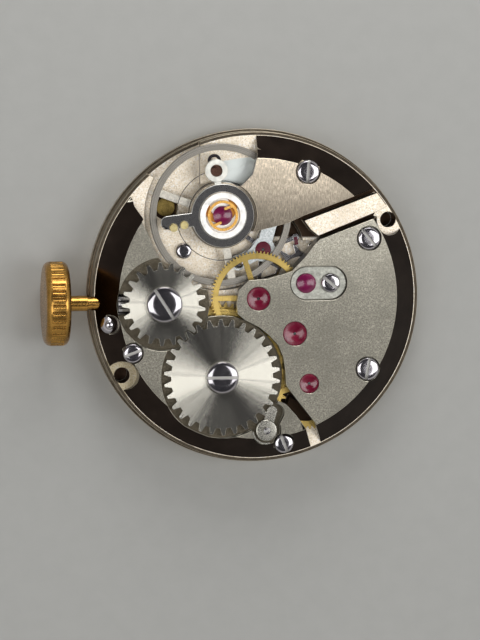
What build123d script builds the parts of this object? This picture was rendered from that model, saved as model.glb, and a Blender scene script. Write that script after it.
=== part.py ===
from build123d import *
import math
import os

# A hand-wound watch movement, in millimetres.
# The origin is the centre of the dial seat, +Z runs to the bridges and -X to the crown.

os.makedirs("parts", exist_ok=True)

# Clearances shared by every sub-part
overrun = 0.5
seat_gap = 0.02
running_gap = 0.03
pivot_play = 0.02
wheel_gap = 0.09
wheel_room = 0.13

# Main plate
flange_radius = 13.0
flange_ledge = 0.2
plate_radius = flange_radius - flange_ledge
flange_height = 0.45
plate_height = 1.9
dial_recess = 0.55
well_floor = 1.0
keyless_step = 0.12

# Barrel stack, from the dial side upwards
barrel_web = 0.32
drum_gap = 0.08
drum_height = 1.2
drum_ledge = 0.3
drum_wall = 0.3
drum_floor = 0.2
drum_tooth_rise = 0.3
drum_tooth_height = 0.3
barrel_room = 0.2
great_wheel_rise = 0.12
great_wheel_thick = 0.14
wheel_thick = 0.12
thin_floor = 0.12
ratchet_thick = 0.35
ratchet_sink = 0.1

# Levels worked out from the stack
barrel_floor = dial_recess + barrel_web
drum_low = barrel_floor + drum_gap
drum_high = drum_low + drum_height
great_low = drum_high + great_wheel_rise
great_high = great_low + great_wheel_thick
third_low = great_high + wheel_gap
third_high = third_low + wheel_thick
fourth_low = third_high + wheel_gap
fourth_high = fourth_low + wheel_thick
ratchet_floor = fourth_high + wheel_room + thin_floor
ratchet_low = ratchet_floor + drum_gap
ratchet_high = ratchet_low + ratchet_thick
top = ratchet_high + ratchet_sink
seat = plate_height

# Bridges
bridge_margin = 0.26
bridge_radius = plate_radius - bridge_margin
bevel_width = top - seat
rib_height = 1.15

# Going train: teeth, leaves and centre distances as shares of the plate radius
tooth_root_share = 0.62
tooth_tip_share = 0.22
addendum_share = 0.85
dedendum_share = 1.15
barrel_teeth = 66
great_leaves = 16
barrel_distance_share = 0.5339
great_teeth = 64
third_leaves = 8
great_distance_share = 0.3164
third_teeth = 60
fourth_leaves = 8
third_distance_share = 0.3087
fourth_teeth = 80
escape_leaves = 8
escape_distance_share = 0.3056
third_angle = -43.9
great_angle = -73.9
barrel_angle = 175.1
escape_angle = 17.1
lever_angle = 141.0
wheel_rim = 0.42
spoke_width = 0.42
wheel_hub = 0.85
great_spoke_angle = 20.0
third_spoke_angle = 65.0
arbor_radius = 0.28
pivot_radius = 0.1
fourth_spokes = 5
fourth_spoke_angle = 108.0
train_spokes = 4
hand_arbor_radius = 0.12
great_pinion_height = 0.85
third_pinion_drop = 0.32
fourth_pinion_drop = 0.31
escape_pinion_reach = 0.05
driver_low = 0.1

# Escapement
escape_teeth = 15
escape_depth = 0.75
escape_rim = 0.3
escape_lean = 9.0
escape_low = 1.40
pallet_distance_share = 0.3164
balance_distance_share = 0.3391
fork_width = 0.34
fork_margin = 0.28
stone_depth = 0.1
stone_half_angle = 42.2
stone_holder = 0.3
stone_holder_lift = 0.25
pallet_arbor_radius = 0.2
pallet_cock_low = 1.75
pallet_cock_thick = 0.25
pallet_cock_width = 1.1
pallet_foot_radius = 0.62
pallet_foot_reach = 2.2
pallet_foot_angle = 66.0
stone_width = 0.3
stone_length = 0.6
stone_height = 0.16
notch_width = 0.34
horn_width = 0.75
horn_length = 0.6
escape_phase_angle = 5.0
escape_tip_angle = 3.0
impulse_orbit = 0.84
impulse_radius = 0.15
roller_radius = 1.1
roller_low = 1.60
roller_height = 0.15

# Balance and hairspring
balance_margin = 0.294
balance_rim = 0.5
balance_low = 2.1
balance_height = 0.4
balance_arm_rise = 0.1
balance_arm_height = 0.15
balance_arm_width = 0.62
balance_arms = 3
balance_arm_angle = 160.0
balance_hub = 0.95
staff_radius = 0.3
collet_radius = 0.6
collet_height = 0.24
staff_collar = 0.45
well_room = 0.35
well_start_angle = 100.0
well_end_angle = 141.0
ledge_shift = 1.52
ledge_rise = 2.37
spring_low = 2.56
spring_height = 0.1
spring_thick = 0.05
spring_start = 0.63
spring_pitch = 0.5
spring_turns = 4
gap_steps = 24
gap_digits = 3
stud_orbit = 3.49
stud_angle = 98.0

# Regulator, stud carrier and shock setting
cock_underside = 2.95
cock_head_radius = 2.55
cock_head_floor = 3.15
carrier_rise = 0.02
carrier_height = 0.16
regulator_rise = 0.03
regulator_height = 0.15
ring_radius = 2.44
block_radius = 1.79
block_bore = 1.33
block_rise = 0.05
block_neck = 1.5
lower_block_low = 0.15
lower_stone_low = 0.40
upper_stone_low = 3.25
lower_block_radius = 1.2
lower_block_bore = 0.9
cap_jewel_radius = 0.75
lyre_radius = 1.18
lyre_width = 0.2
lyre_height = 0.12
lyre_angle = 45.0
lyre_lean = 25.0
lyre_tongue = 0.6
cock_wall = 0.35
stud_boss_radius = 0.88
stud_radius = 0.44
stud_boss_height = 0.35
regulator_angle = 187.0
regulator_reach = 4.3
regulator_width = 1.05
curb_angle = 193.5
curb_radius = 0.3
curb_gap = 0.12
neck_width = 0.54

# Winding work
ratchet_teeth = 30
crown_teeth = 21
winding_distance_share = 0.5678
crown_wheel_angle = 128.3
winding_tip_share = 0.24
winding_tooth = 0.55
arbor_core = 1.3
arbor_pivot = 0.45
arbor_journal = 0.8
arbor_square = 1.0
cover_step = 0.1
mainspring_thick = 0.1
mainspring_play = 0.26
mainspring_turns = 9
click_radius = 0.85
click_round = 0.12
click_rise = 0.06
click_thick = 0.4
click_room = 1.15
click_bite = 0.15
click_angle = -34.7
click_place_angle = -50.4
click_gap = 0.07
click_lift = 10.0
nose_radius = 0.4
nose_height = 0.25
click_spring_radius = 1.1
click_spring_thick = 0.12
click_spring_span = 100.0
ratchet_room = 0.23
crown_room = 0.38
crown_wheel_thick = 0.55
crown_core_radius = 0.97
pinion_tip = 1.36
stem_radius = 0.5
stem_square = 0.68
mesh_depth = 0.10
stem_height = ratchet_high - crown_wheel_thick + mesh_depth - pinion_tip
pinion_teeth = 9
pinion_depth = 0.45
pinion_lead = 0.22
pinion_length = 0.9
clutch_lead = 0.15
clutch_length = 1.4
clutch_travel = 0.6
clutch_groove = 0.4
clutch_groove_depth = 0.35
clutch_room = 0.05
clutch_teeth = 6
clutch_notch = 0.18
clutch_groove_share = 0.6
square_lead = 0.1
square_tail = 0.2
crown_round = 0.5
crown_floor_thick = 0.08
stem_end_gap = 0.05
pull_travel = 0.82
stem_groove_lead = 0.47
stem_groove_length = 0.42
stem_groove_radius = 0.3
crown_radius = 3.25
crown_length = 1.9
crown_gap = 1.56
crown_ribs = 36
crown_rib_band = 1.0
crown_rib_depth = 0.16
sleeve_radius = 0.6
sleeve_gap = 0.07

# Setting work on the dial side
motion_distance_share = 0.6988
cannon_leaves = 12
minute_teeth = 36
minute_leaves = 10
hour_teeth = 40
setting_teeth = 17
minute_low = 0.30
minute_thick = 0.18
hour_low = 0.05
hour_thick = 0.15
setting_high = 0.70
setting_angle = 137.0
tube_bore = 0.15
tube_radius = 0.26
cannon_bore = 0.29
cannon_radius = 0.58
minute_seat_radius = 0.42
hour_bore = 0.61
hour_radius = 0.8
hour_reach = 0.7
cannon_reach = 1.05
seconds_reach = 1.4
lever_low = 0.12
lever_thick = 0.18
lever_pin_radius = 0.16
lever_pin_room = 0.36
lever_boss = 0.62
lever_tail = 1.3
lever_tail_angle = -60.0
yoke_boss = 0.55
yoke_width = 0.5
finger_depth = 0.3
finger_room = 0.7
jumper_low = 0.04
jumper_thick = 0.05
jumper_width = 0.7
jumper_head = 0.3
minute_leaf_low = 0.03

# Screws and pins
slot_width = 0.22
slot_depth = 0.16
screw_chamfer = 0.06
head_height = 0.42
head_sink = 0.36
head_room = 0.08
shank_radius = 0.35
shank_reach = 1.6
small_head = 0.42
small_shank = 0.18
small_height = 0.15
steady_radius = 0.3
steady_height = 0.7
case_hole_radius = 0.6
case_hole_margin = 0.8
case_hole_angle = 29.6
case_notch_radius = 1.15
dial_foot_radius = 0.4
dial_foot_margin = 1.6
dial_foot_angle = 340.0
dial_foot_depth = 1.2
rim_screw_sink = 0.95
rim_screw_reach = 1.6
large_head = 0.89
medium_head = 0.745
lever_head = 0.69
lever_dome = 0.35
lever_shank = 0.3
cap_head = 0.74
cap_head_height = 0.3
cap_shank = 0.25
cap_reach = 0.5
ratchet_head = 1.24
ratchet_screw_reach = 1.2
crown_head = 1.38
core_shank = 0.35
core_reach = 0.42
pallet_screw_reach = 1.2
click_head = 0.3
click_screw_reach = 1.2
foot_screw_radius = 0.25
foot_screw_sink = 0.05
foot_screw_height = 0.85
well_pin_radius = 0.6
well_pin_height = 0.45
dial_pin_radius = 0.25
tube_reach = 0.8
large_slot_angles = [86.0, -50.0, 80.0]
medium_slot_angles = [20.0, -68.0, -39.0]
crown_slot_angle = -57.0
click_slot_angle = 30.0

# Jewels
jewel_thick = 0.35
centre_jewel = 0.91
third_jewel = 0.93
great_jewel = 0.75
pallet_jewel = 0.60
escape_jewel = 0.5
cap_plate_length = 4.3
cap_plate_width = 2.5
cap_plate_thick = 0.18
cap_recess_depth = 0.42
cap_jewel_sink = 0.05
cap_jewel_thick = 0.25
lower_jewel = 0.6
jewel_sink_radius = 1.2
jewel_sink_lift = 1.08

# Places of screws and details, as shares of the plate radius
cock_screw_share = (0.301, 0.7625)
train_screw_shares = [(0.675, 0.358), (0.669, -0.434)]
barrel_screw_share = (-0.7625, -0.319)
rim_screw_share = (0.163, -0.885)
lever_screw_share = (-0.897, -0.151)
cap_screw_share = (0.440, 0.091)
well_pin_share = (-0.430, 0.281)
yoke_share = (-0.625, -0.281)
jumper_screw_share = (-0.80, -0.27)
steady_shares = [(0.745, 0.135), (0.720, -0.300), (-0.80, 0.20), (-0.715, -0.56), (0.16, 0.90), (0.42, 0.72)]

# Outlines seen from above, as shares of the flange radius
train_edge_shares = [
    (0.368, 0.349), (0.338, 0.323), (0.278, 0.245), (0.2, 0.163), (0.054, 0.118), (-0.06, 0.11),
    (-0.118, 0.055), (-0.134, -0.03), (-0.125, -0.09), (-0.086, -0.124), (0.004, -0.171),
    (0.063, -0.218), (0.117, -0.278), (0.147, -0.349), (0.159, -0.427), (0.165, -0.517),
    (0.189, -0.553), (0.273, -0.66), (0.339, -0.744), (0.46, -1.02), (1.1, -1.1), (1.1, 0.624),
]
rib_shares = [(0.281, 0.458), (0.321, 0.403), (0.366, 0.368), (0.692, 0.498), (0.78, 0.54), (0.72, 0.62)]
cock_edge_shares = [
    (0.01, 1.1), (0.005, 0.979), (-0.005, 0.859), (-0.035, 0.738), (-0.095, 0.678), (-0.214, 0.60),
    (-0.214, 0.40), (-0.025, 0.398), (0.176, 0.448), (0.276, 0.493), (0.587, 0.608), (0.702, 0.638),
    (0.83, 0.70), (1.1, 1.1),
]
barrel_edge_shares = [
    (-1.1, 0.88), (-0.741, 0.597), (-0.728, 0.546), (-0.685, 0.478), (-0.695, 0.462), (-0.592, 0.262),
    (-0.45, 0.02), (-0.30, -0.16), (-0.02, -0.20), (0.128, -0.36), (0.14, -0.52), (0.105, -0.606),
    (0.165, -0.631), (0.225, -0.697), (0.285, -0.78), (0.40, -1.05), (-1.1, -1.1),
]


def polar(distance, angle, start=(0, 0)):
    """The point at a distance and an angle in degrees from a start."""
    turn = math.radians(angle)
    return (start[0] + distance * math.cos(turn), start[1] + distance * math.sin(turn))


def at_share(share):
    """A place on the plate from its share of the plate radius."""
    return (share[0] * plate_radius, share[1] * plate_radius)


def distance_between(first, second):
    """The plan distance of two places."""
    return math.hypot(second[0] - first[0], second[1] - first[1])


def direction(first, second):
    """The angle in degrees from one place to another."""
    return math.degrees(math.atan2(second[1] - first[1], second[0] - first[0]))


def disc(radius, low, high, place=(0, 0)):
    """A solid cylinder between two heights."""
    body = Cylinder(radius, high - low, align=(Align.CENTER, Align.CENTER, Align.MIN))
    return Pos(place[0], place[1], low) * body


def ring(outer, inner, low, high, place=(0, 0)):
    """A disc with a hole through it."""
    return disc(outer, low, high, place) - disc(inner, low - overrun, high + overrun, place)


def raised(outline, low, high, place=(0, 0), turn=0):
    """A flat outline thickened between two heights."""
    return Pos(place[0], place[1], low) * Rot(0, 0, turn) * extrude(outline, amount=high - low)


def shape_of(points):
    """A flat outline through points."""
    return make_face(Polyline(*points, close=True))


def shape_of_shares(shares):
    """A flat outline given in shares of the flange radius."""
    return shape_of([(x * flange_radius, y * flange_radius) for x, y in shares])


def bar(first, second, width, low, high):
    """A round-ended bar between two places."""
    length = distance_between(first, second)
    middle = ((first[0] + second[0]) / 2, (first[1] + second[1]) / 2)
    body = raised(Rectangle(length, width), low, high, middle, direction(first, second))
    return body + disc(width / 2, low, high, first) + disc(width / 2, low, high, second)


def along_stem(radius, start, length, height=stem_height):
    """A cylinder on the stem's axis, from a start left of centre, running towards the centre."""
    body = Cylinder(radius, length, align=(Align.CENTER, Align.CENTER, Align.MIN))
    return Pos(-start, stem_y, height) * Rot(0, 90, 0) * body


def gear_outline(teeth, root, tip, phase=0, tip_share=tooth_tip_share):
    """A toothed outline with straight flanks, one tooth centred on the phase angle."""
    pitch = 360 / teeth
    points = []
    for number in range(teeth):
        middle = phase + number * pitch
        points.append(polar(root, middle - pitch * tooth_root_share / 2))
        points.append(polar(tip, middle - pitch * tip_share / 2))
        points.append(polar(tip, middle + pitch * tip_share / 2))
        points.append(polar(root, middle + pitch * tooth_root_share / 2))
    return shape_of(points)


def gear(teeth, module, phase=0):
    """The outline of a wheel or pinion from its tooth count and module."""
    pitch_radius = teeth * module / 2
    return gear_outline(teeth, pitch_radius - dedendum_share * module,
                        pitch_radius + addendum_share * module, phase)


def tip_of(teeth, module):
    """The tip radius of a wheel or pinion."""
    return teeth * module / 2 + addendum_share * module


def meshed_phase(driver_teeth, driver_phase, driven_teeth, angle):
    """The phase that puts a gap of the driven wheel opposite a tooth of its driver."""
    driver_pitch = 360 / driver_teeth
    driven_pitch = 360 / driven_teeth
    ahead = ((angle - driver_phase) / driver_pitch) % 1
    return angle + 180 + ahead * driven_pitch + driven_pitch / 2


def spoked(outline, rim_inner, hub, spokes, width, angle):
    """A wheel outline with its spokes cut free."""
    arms = Circle(hub)
    for number in range(spokes):
        reach = Pos(rim_inner / 2, 0) * Rectangle(rim_inner + wheel_rim / 2, width)
        arms += Rot(0, 0, angle + number * 360 / spokes) * reach
    return outline - Circle(rim_inner) + arms


def ribbon(start, pitch, turns, ends, thick):
    """A flat spiral outline of half turns, its last half turns through the given end radii."""
    radii = [start + number * pitch / 2 for number in range(2 * turns + 1)] + ends
    outer = []
    inner = []
    for number in range(len(radii) - 1):
        side = 1 if number % 2 == 0 else -1
        first = radii[number] * side
        second = -radii[number + 1] * side
        middle = (first + second) / 2
        half = abs(first - second) / 2
        outer.append(half_turn(middle, half + thick / 2, side))
        inner.append(half_turn(middle, half - thick / 2, side))
    caps = [Line(outer[0] @ 0, inner[0] @ 0), Line(outer[-1] @ 1, inner[-1] @ 1)]
    return make_face(Wire(outer + inner + caps))


def half_turn(middle, radius, side):
    """A clockwise half turn that starts on the right for side 1 and on the left for -1."""
    start = (middle + radius * side, 0)
    crest = (middle, -radius * side)
    end = (middle - radius * side, 0)
    return ThreePointArc(start, crest, end)


def ribbon_gap(start, pitch, turns, ends, thick):
    """The least gap of a spiral to itself, measured on points of its middle line."""
    radii = [start + number * pitch / 2 for number in range(2 * turns + 1)] + ends
    points = []
    for number in range(len(radii) - 1):
        side = 1 if number % 2 == 0 else -1
        middle = (radii[number] - radii[number + 1]) * side / 2
        half = (radii[number] + radii[number + 1]) / 2
        for step in range(gap_steps):
            angle = math.radians(180 * step / gap_steps)
            points.append((middle + side * half * math.cos(angle), -side * half * math.sin(angle)))
    least = min(math.dist(points[i], points[j]) for i in range(len(points))
                for j in range(i + gap_steps, len(points)))
    return least - thick


def screw(place, base, radius, height, shank, reach, angle=0, slot=True):
    """A slotted screw with its head standing on the base level."""
    head = disc(radius, base, base + height, place)
    head = chamfer(head.edges().group_by(Axis.Z)[-1], screw_chamfer)
    if slot:
        groove = Box(2 * (radius + overrun), slot_width, 2 * slot_depth)
        head -= Pos(place[0], place[1], base + height) * Rot(0, 0, angle) * groove
    return head + disc(shank, base - reach, base, place)


def write(shape, name):
    """Save one sub-part."""
    export_step(shape, "parts/" + name + ".step")


def group(shapes):
    """Separate solids kept together in one sub-part."""
    solids = []
    for shape in shapes:
        solids.extend(shape.solids())
    return Compound(children=solids)


# Places worked out from the wheels
centre = (0, 0)
third_distance = third_distance_share * plate_radius
great_distance = great_distance_share * plate_radius
barrel_distance = barrel_distance_share * plate_radius
escape_distance = escape_distance_share * plate_radius
pallet_distance = pallet_distance_share * plate_radius
balance_distance = balance_distance_share * plate_radius
winding_distance = winding_distance_share * plate_radius
third_place = polar(third_distance, third_angle)
great_place = polar(great_distance, great_angle, third_place)
barrel_place = polar(barrel_distance, barrel_angle, great_place)
escape_place = polar(escape_distance, escape_angle)
pallet_place = polar(pallet_distance, lever_angle, escape_place)
balance_place = polar(balance_distance, lever_angle, pallet_place)
crown_place = polar(winding_distance, crown_wheel_angle, barrel_place)
stem_y = crown_place[1]

# The module of each pair follows from its centre distance and tooth counts
barrel_module = 2 * barrel_distance / (barrel_teeth + great_leaves)
great_module = 2 * great_distance / (great_teeth + third_leaves)
third_module = 2 * third_distance / (third_teeth + fourth_leaves)
fourth_module = 2 * escape_distance / (fourth_teeth + escape_leaves)
winding_module = 2 * winding_distance / (ratchet_teeth + crown_teeth)
barrel_pitch_radius = barrel_teeth * barrel_module / 2
drum_radius = barrel_pitch_radius - drum_ledge
drum_inner = drum_radius - drum_wall
mainspring_start = arbor_core + mainspring_thick
mainspring_pitch = (drum_inner - mainspring_play - mainspring_start) / mainspring_turns
escape_radius = pallet_distance * math.cos(math.radians(stone_half_angle))
fork_reach = pallet_distance * math.sin(math.radians(stone_half_angle)) + fork_margin
balance_radius = plate_radius - distance_between(centre, balance_place) - balance_margin

# The minute wheel meshes with the driver and the cannon pinion at equal distances
motion_distance = motion_distance_share * distance_between(centre, great_place)
motion_module = 2 * motion_distance / (cannon_leaves + minute_teeth)
half_span = distance_between(centre, great_place) / 2
minute_bow = math.sqrt(motion_distance ** 2 - half_span ** 2)
minute_place = polar(minute_bow, direction(centre, great_place) - 90,
                     polar(half_span, direction(centre, great_place)))
hour_module = 2 * motion_distance / (minute_leaves + hour_teeth)
setting_place = polar(motion_module * (setting_teeth + minute_teeth) / 2, setting_angle, minute_place)

# Winding work levels and stations along the stem, measured from the centre
drum_tip = tip_of(barrel_teeth, barrel_module)
ratchet_tip = tip_of(ratchet_teeth, winding_module)
crown_tip = tip_of(crown_teeth, winding_module)
pinion_start = crown_tip - crown_place[0] + pinion_lead
clutch_start = pinion_start - pinion_length - clutch_lead
square_start = clutch_start + square_lead
square_end = clutch_start - clutch_length - clutch_travel - square_tail
stem_inner_end = square_end - stem_end_gap
stem_groove_start = pinion_start + stem_groove_lead
crown_start = flange_radius + crown_gap
sleeve_start = flange_radius + sleeve_gap
case_hole_orbit = plate_radius - case_hole_margin
dial_foot_orbit = plate_radius - dial_foot_margin
foot_screw_length = dial_foot_margin - dial_foot_radius - foot_screw_sink - seat_gap
crown_low = ratchet_high - crown_wheel_thick
crown_floor = crown_low - drum_gap + seat_gap / 2
clutch_radius = crown_floor - crown_floor_thick - clutch_room - stem_height
lever_place = at_share(lever_screw_share)
yoke_place = at_share(yoke_share)
jumper_screw = at_share(jumper_screw_share)
well_pin = at_share(well_pin_share)
stem_groove_middle = (-stem_groove_start + stem_groove_length / 2, stem_y)
clutch_groove_middle = (-clutch_start + clutch_length * clutch_groove_share, stem_y)
lever_arm = distance_between(lever_place, stem_groove_middle)
lever_turn = math.degrees(2 * math.asin(pull_travel / 2 / lever_arm))
case_holes = [polar(case_hole_orbit, case_hole_angle), polar(case_hole_orbit, case_hole_angle + 180)]
dial_holes = [polar(dial_foot_orbit, dial_foot_angle), polar(dial_foot_orbit, dial_foot_angle + 180)]
cock_screw = at_share(cock_screw_share)
train_screws = [at_share(share) for share in train_screw_shares]
barrel_screw = at_share(barrel_screw_share)
rim_screw = at_share(rim_screw_share)
cap_screw = at_share(cap_screw_share)
click_place = polar(ratchet_tip + click_radius + click_gap, click_place_angle, barrel_place)
steady_places = [at_share(share) for share in steady_shares]
pallet_feet = [polar(pallet_foot_reach, lever_angle - pallet_foot_angle, pallet_place),
               polar(pallet_foot_reach, lever_angle + pallet_foot_angle, pallet_place)]

# Levels and radii of the pieces that seat in the plate and bridges
jewel_high = top - head_room
jewel_low = jewel_high - jewel_thick
lower_jewel_high = seat - head_room
lower_jewel_low = lower_jewel_high - jewel_thick
cap_floor = top - cap_recess_depth
block_high = top + block_rise
staff_hole = pivot_radius + running_gap
collet_low = spring_low - (collet_height - spring_height) / 2
pallet_cock_high = pallet_cock_low + pallet_cock_thick
escape_seat_low = well_floor - head_room - jewel_thick
escape_pinion_tip = tip_of(escape_leaves, fourth_module)
escape_pinion_low = fourth_low - escape_pinion_reach
escape_pinion_high = fourth_high + escape_pinion_reach
escape_jewel_low = escape_pinion_high + wheel_room
third_pinion_low = third_low - third_pinion_drop
fourth_pinion_low = fourth_low - fourth_pinion_drop
great_pinion_high = drum_low + great_pinion_height
dial_pin_high = dial_recess + seat_gap
click_low = ratchet_floor + click_rise
click_high = click_low + click_thick
curb_low = balance_low + balance_height + running_gap
stud_place = polar(stud_orbit, stud_angle, balance_place)
curb_places = [polar(stud_orbit - curb_radius - curb_gap, curb_angle, balance_place),
               polar(stud_orbit + curb_radius + curb_gap, curb_angle, balance_place)]
stone_angles = [lever_angle - stone_half_angle, lever_angle + stone_half_angle]
stone_places = [polar(escape_radius + stone_length / 2 - stone_depth, angle, escape_place)
                for angle in stone_angles]
holder_places = [polar(escape_radius + stone_length / 2 - stone_depth + stone_holder_lift, angle,
                       escape_place) for angle in stone_angles]
lower_jewel_table = [(third_place, lower_jewel, lower_jewel_low),
                     (escape_place, escape_jewel, escape_seat_low),
                     (pallet_place, escape_jewel, escape_seat_low)]
carrier_low = cock_head_floor + carrier_rise
regulator_low = carrier_low + carrier_height + regulator_rise
regulator_high = regulator_low + regulator_height
click_nose = polar(ratchet_tip + nose_radius - click_bite, click_angle, barrel_place)
click_arm = math.dist(click_place, click_nose)
click_lifted = polar(click_arm, direction(click_place, click_nose) - click_lift, click_place)
ratchet_phase = click_angle + 180 / ratchet_teeth


def stem_way(low):
    """The room for the stem, winding pinion and clutch, open above the stem."""
    rooms = [
        (stem_radius + running_gap, flange_radius + overrun, flange_radius + overrun - stem_inner_end),
        (pinion_tip + clutch_room, pinion_start + clutch_room, pinion_length + 2 * clutch_room),
        (clutch_radius + clutch_room, clutch_start + clutch_room,
         clutch_length + clutch_travel + 2 * clutch_room),
    ]
    way = None
    for radius, start, length in rooms:
        tunnel = along_stem(radius, start, length)
        if low:
            trench = Box(length, 2 * radius, seat - stem_height + overrun,
                         align=(Align.MIN, Align.CENTER, Align.MIN))
            tunnel += Pos(-start, stem_y, stem_height) * trench
        way = tunnel if way is None else way + tunnel
    return way


def keyless_room():
    """The dial-side recess for the setting lever, yoke and setting wheel."""
    room = disc(lever_boss + running_gap * 2, -overrun, dial_recess, lever_place)
    room += bar(lever_place, stem_groove_middle, 2 * lever_boss, -overrun, dial_recess)
    room += bar(yoke_place, clutch_groove_middle, 2 * lever_boss + clutch_travel, -overrun, dial_recess)
    room += bar(lever_place, yoke_place, 2 * lever_boss, -overrun, dial_recess)
    for angle in (lever_tail_angle, lever_tail_angle + lever_turn):
        room += bar(lever_place, polar(lever_tail, angle, lever_place), lever_boss, -overrun, dial_recess)
    room += bar(lever_place, polar(pull_travel, 180, stem_groove_middle), 2 * lever_boss, -overrun,
                dial_recess)
    room += disc(tip_of(setting_teeth, motion_module) + wheel_gap, -overrun, dial_recess, setting_place)
    return room


def main_plate():
    """The plate that carries every axle, hollowed for the barrel, balance and dial work."""
    plate = disc(flange_radius, 0, flange_height) + disc(plate_radius, 0, seat)
    rib = raised(shape_of_shares(rib_shares), seat - seat_gap, seat + rib_height)
    plate += rib
    hour_tip = tip_of(hour_teeth, hour_module)
    minute_tip = tip_of(minute_teeth, motion_module)
    driver_tip = tip_of(cannon_leaves, motion_module)
    for place, radius in ((centre, hour_tip), (minute_place, minute_tip), (great_place, driver_tip)):
        plate -= disc(radius + wheel_gap, -overrun, dial_recess, place)
    plate -= keyless_room()
    for place in (lever_place, yoke_place):
        plate -= bar(jumper_screw, place, 2 * jumper_width + wheel_gap, -overrun, keyless_step)
    plate -= disc(tip_of(setting_teeth, motion_module) + wheel_gap, 0, setting_high + drum_gap,
                  setting_place)
    plate -= disc(drum_tip + barrel_room, barrel_floor, seat + overrun, barrel_place)
    plate -= disc(tip_of(great_leaves, barrel_module) + barrel_room, barrel_floor, seat + overrun,
                  great_place)
    ledge = raised(Rectangle(2 * balance_radius, 2 * balance_radius, align=(Align.MIN, Align.MIN)),
                   well_floor - overrun, seat + overrun,
                   (balance_place[0] - ledge_shift, balance_place[1] + ledge_rise))
    well = disc(balance_radius + well_room, well_floor, seat + overrun, balance_place) - ledge
    sector = shape_of([balance_place, polar(2 * plate_radius, well_end_angle),
                       polar(2 * plate_radius, well_start_angle)])
    plate -= well
    plate -= raised(sector, well_floor, seat + overrun) - ledge
    plate -= disc(escape_radius + barrel_room, well_floor, seat + overrun, escape_place)
    plate -= disc(fork_reach + barrel_room, well_floor, seat + overrun, pallet_place)
    plate -= stem_way(True)
    slot = bar(polar(pull_travel, 180, stem_groove_middle), stem_groove_middle,
               2 * lever_pin_radius + lever_pin_room, 0, seat + overrun)
    plate -= slot
    finger = bar((clutch_groove_middle[0], stem_y - clutch_radius), polar(clutch_travel, 0,
                 (clutch_groove_middle[0], stem_y - clutch_radius)), finger_room, 0, seat)
    plate -= finger
    for place in case_holes:
        plate -= disc(case_hole_radius, -overrun, seat + overrun, place)
    for place in dial_holes:
        plate -= disc(dial_foot_radius, -overrun, dial_foot_depth, place)
    for number, place in enumerate(dial_holes):
        plate -= foot_screw_shape(place, number, seat_gap)
    for place, radius, low in lower_jewel_table:
        plate -= disc(radius + seat_gap, low, low + jewel_thick + overrun, place)
        plate -= disc(arbor_radius + running_gap, low - head_room, low + jewel_thick, place)
    plate -= disc(arbor_radius + running_gap, -overrun, seat, great_place)
    plate -= disc(tube_radius + seat_gap, -overrun, seat + overrun)
    plate -= disc(arbor_pivot + running_gap, -overrun, seat, barrel_place)
    plate -= disc(lower_block_radius + seat_gap, -overrun, seat + overrun, balance_place)
    for place in steady_places:
        plate -= disc(steady_radius + seat_gap, seat - steady_height / 2 - seat_gap, seat + overrun,
                      place)
    for place in [cock_screw, barrel_screw, rim_screw] + train_screws:
        plate -= disc(shank_radius + running_gap, well_floor - wheel_gap, seat + overrun, place)
    for place in pallet_feet:
        plate -= disc(small_shank + seat_gap, dial_recess + wheel_gap, seat, place)
    plate -= disc(small_shank + seat_gap, 0, dial_pin_high, jumper_screw)
    plate -= disc(small_shank + seat_gap, dial_recess + wheel_gap, seat, well_pin)
    plate -= disc(lever_shank + running_gap, -overrun, seat + overrun, lever_place)
    plate += dial_pins()
    return plate


def dial_pins():
    """Fixed pins on the dial side for the wheels of the setting work."""
    low = jumper_low + jumper_thick + seat_gap
    pins = disc(dial_pin_radius, low, dial_pin_high, yoke_place)
    pins += disc(dial_pin_radius, minute_leaf_low, dial_pin_high, minute_place)
    return pins + disc(dial_pin_radius, low, setting_high + drum_gap + seat_gap, setting_place)


def bridge_blank(outline):
    """A bridge cut from the bevelled bridge disc by its outline."""
    blank = Pos(0, 0, seat) * Cone(bridge_radius, bridge_radius - bevel_width, bevel_width,
                                   align=(Align.CENTER, Align.CENTER, Align.MIN))
    return blank & raised(outline, seat - overrun, top + overrun)


def wheel_rooms(bridge):
    """Clear a bridge round the great, third and fourth wheels and the escape pinion."""
    rooms = [
        (great_place, tip_of(great_teeth, great_module), great_high),
        (third_place, tip_of(third_teeth, third_module), third_high),
        (centre, tip_of(fourth_teeth, fourth_module), fourth_high),
        (escape_place, escape_pinion_tip + wheel_gap, escape_pinion_high),
    ]
    for place, radius, high in rooms:
        bridge -= disc(radius + wheel_room, seat - overrun, high + wheel_room, place)
    return bridge


def screw_room(bridge, place, radius, base, shank):
    """Sink a screw head into a bridge and drill its shank hole."""
    bridge -= disc(radius + head_room, base, top + overrun, place)
    return bridge - disc(shank + running_gap, seat - overrun, base + overrun, place)


def common_holes(bridge):
    """Holes for steady pins and the notches that leave the case screws free."""
    for place in steady_places:
        bridge -= disc(steady_radius + seat_gap, seat - overrun, seat + steady_height / 2 + seat_gap,
                       place)
    for place in case_holes:
        bridge -= disc(case_notch_radius, seat - overrun, top + overrun, place)
    return bridge


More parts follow.
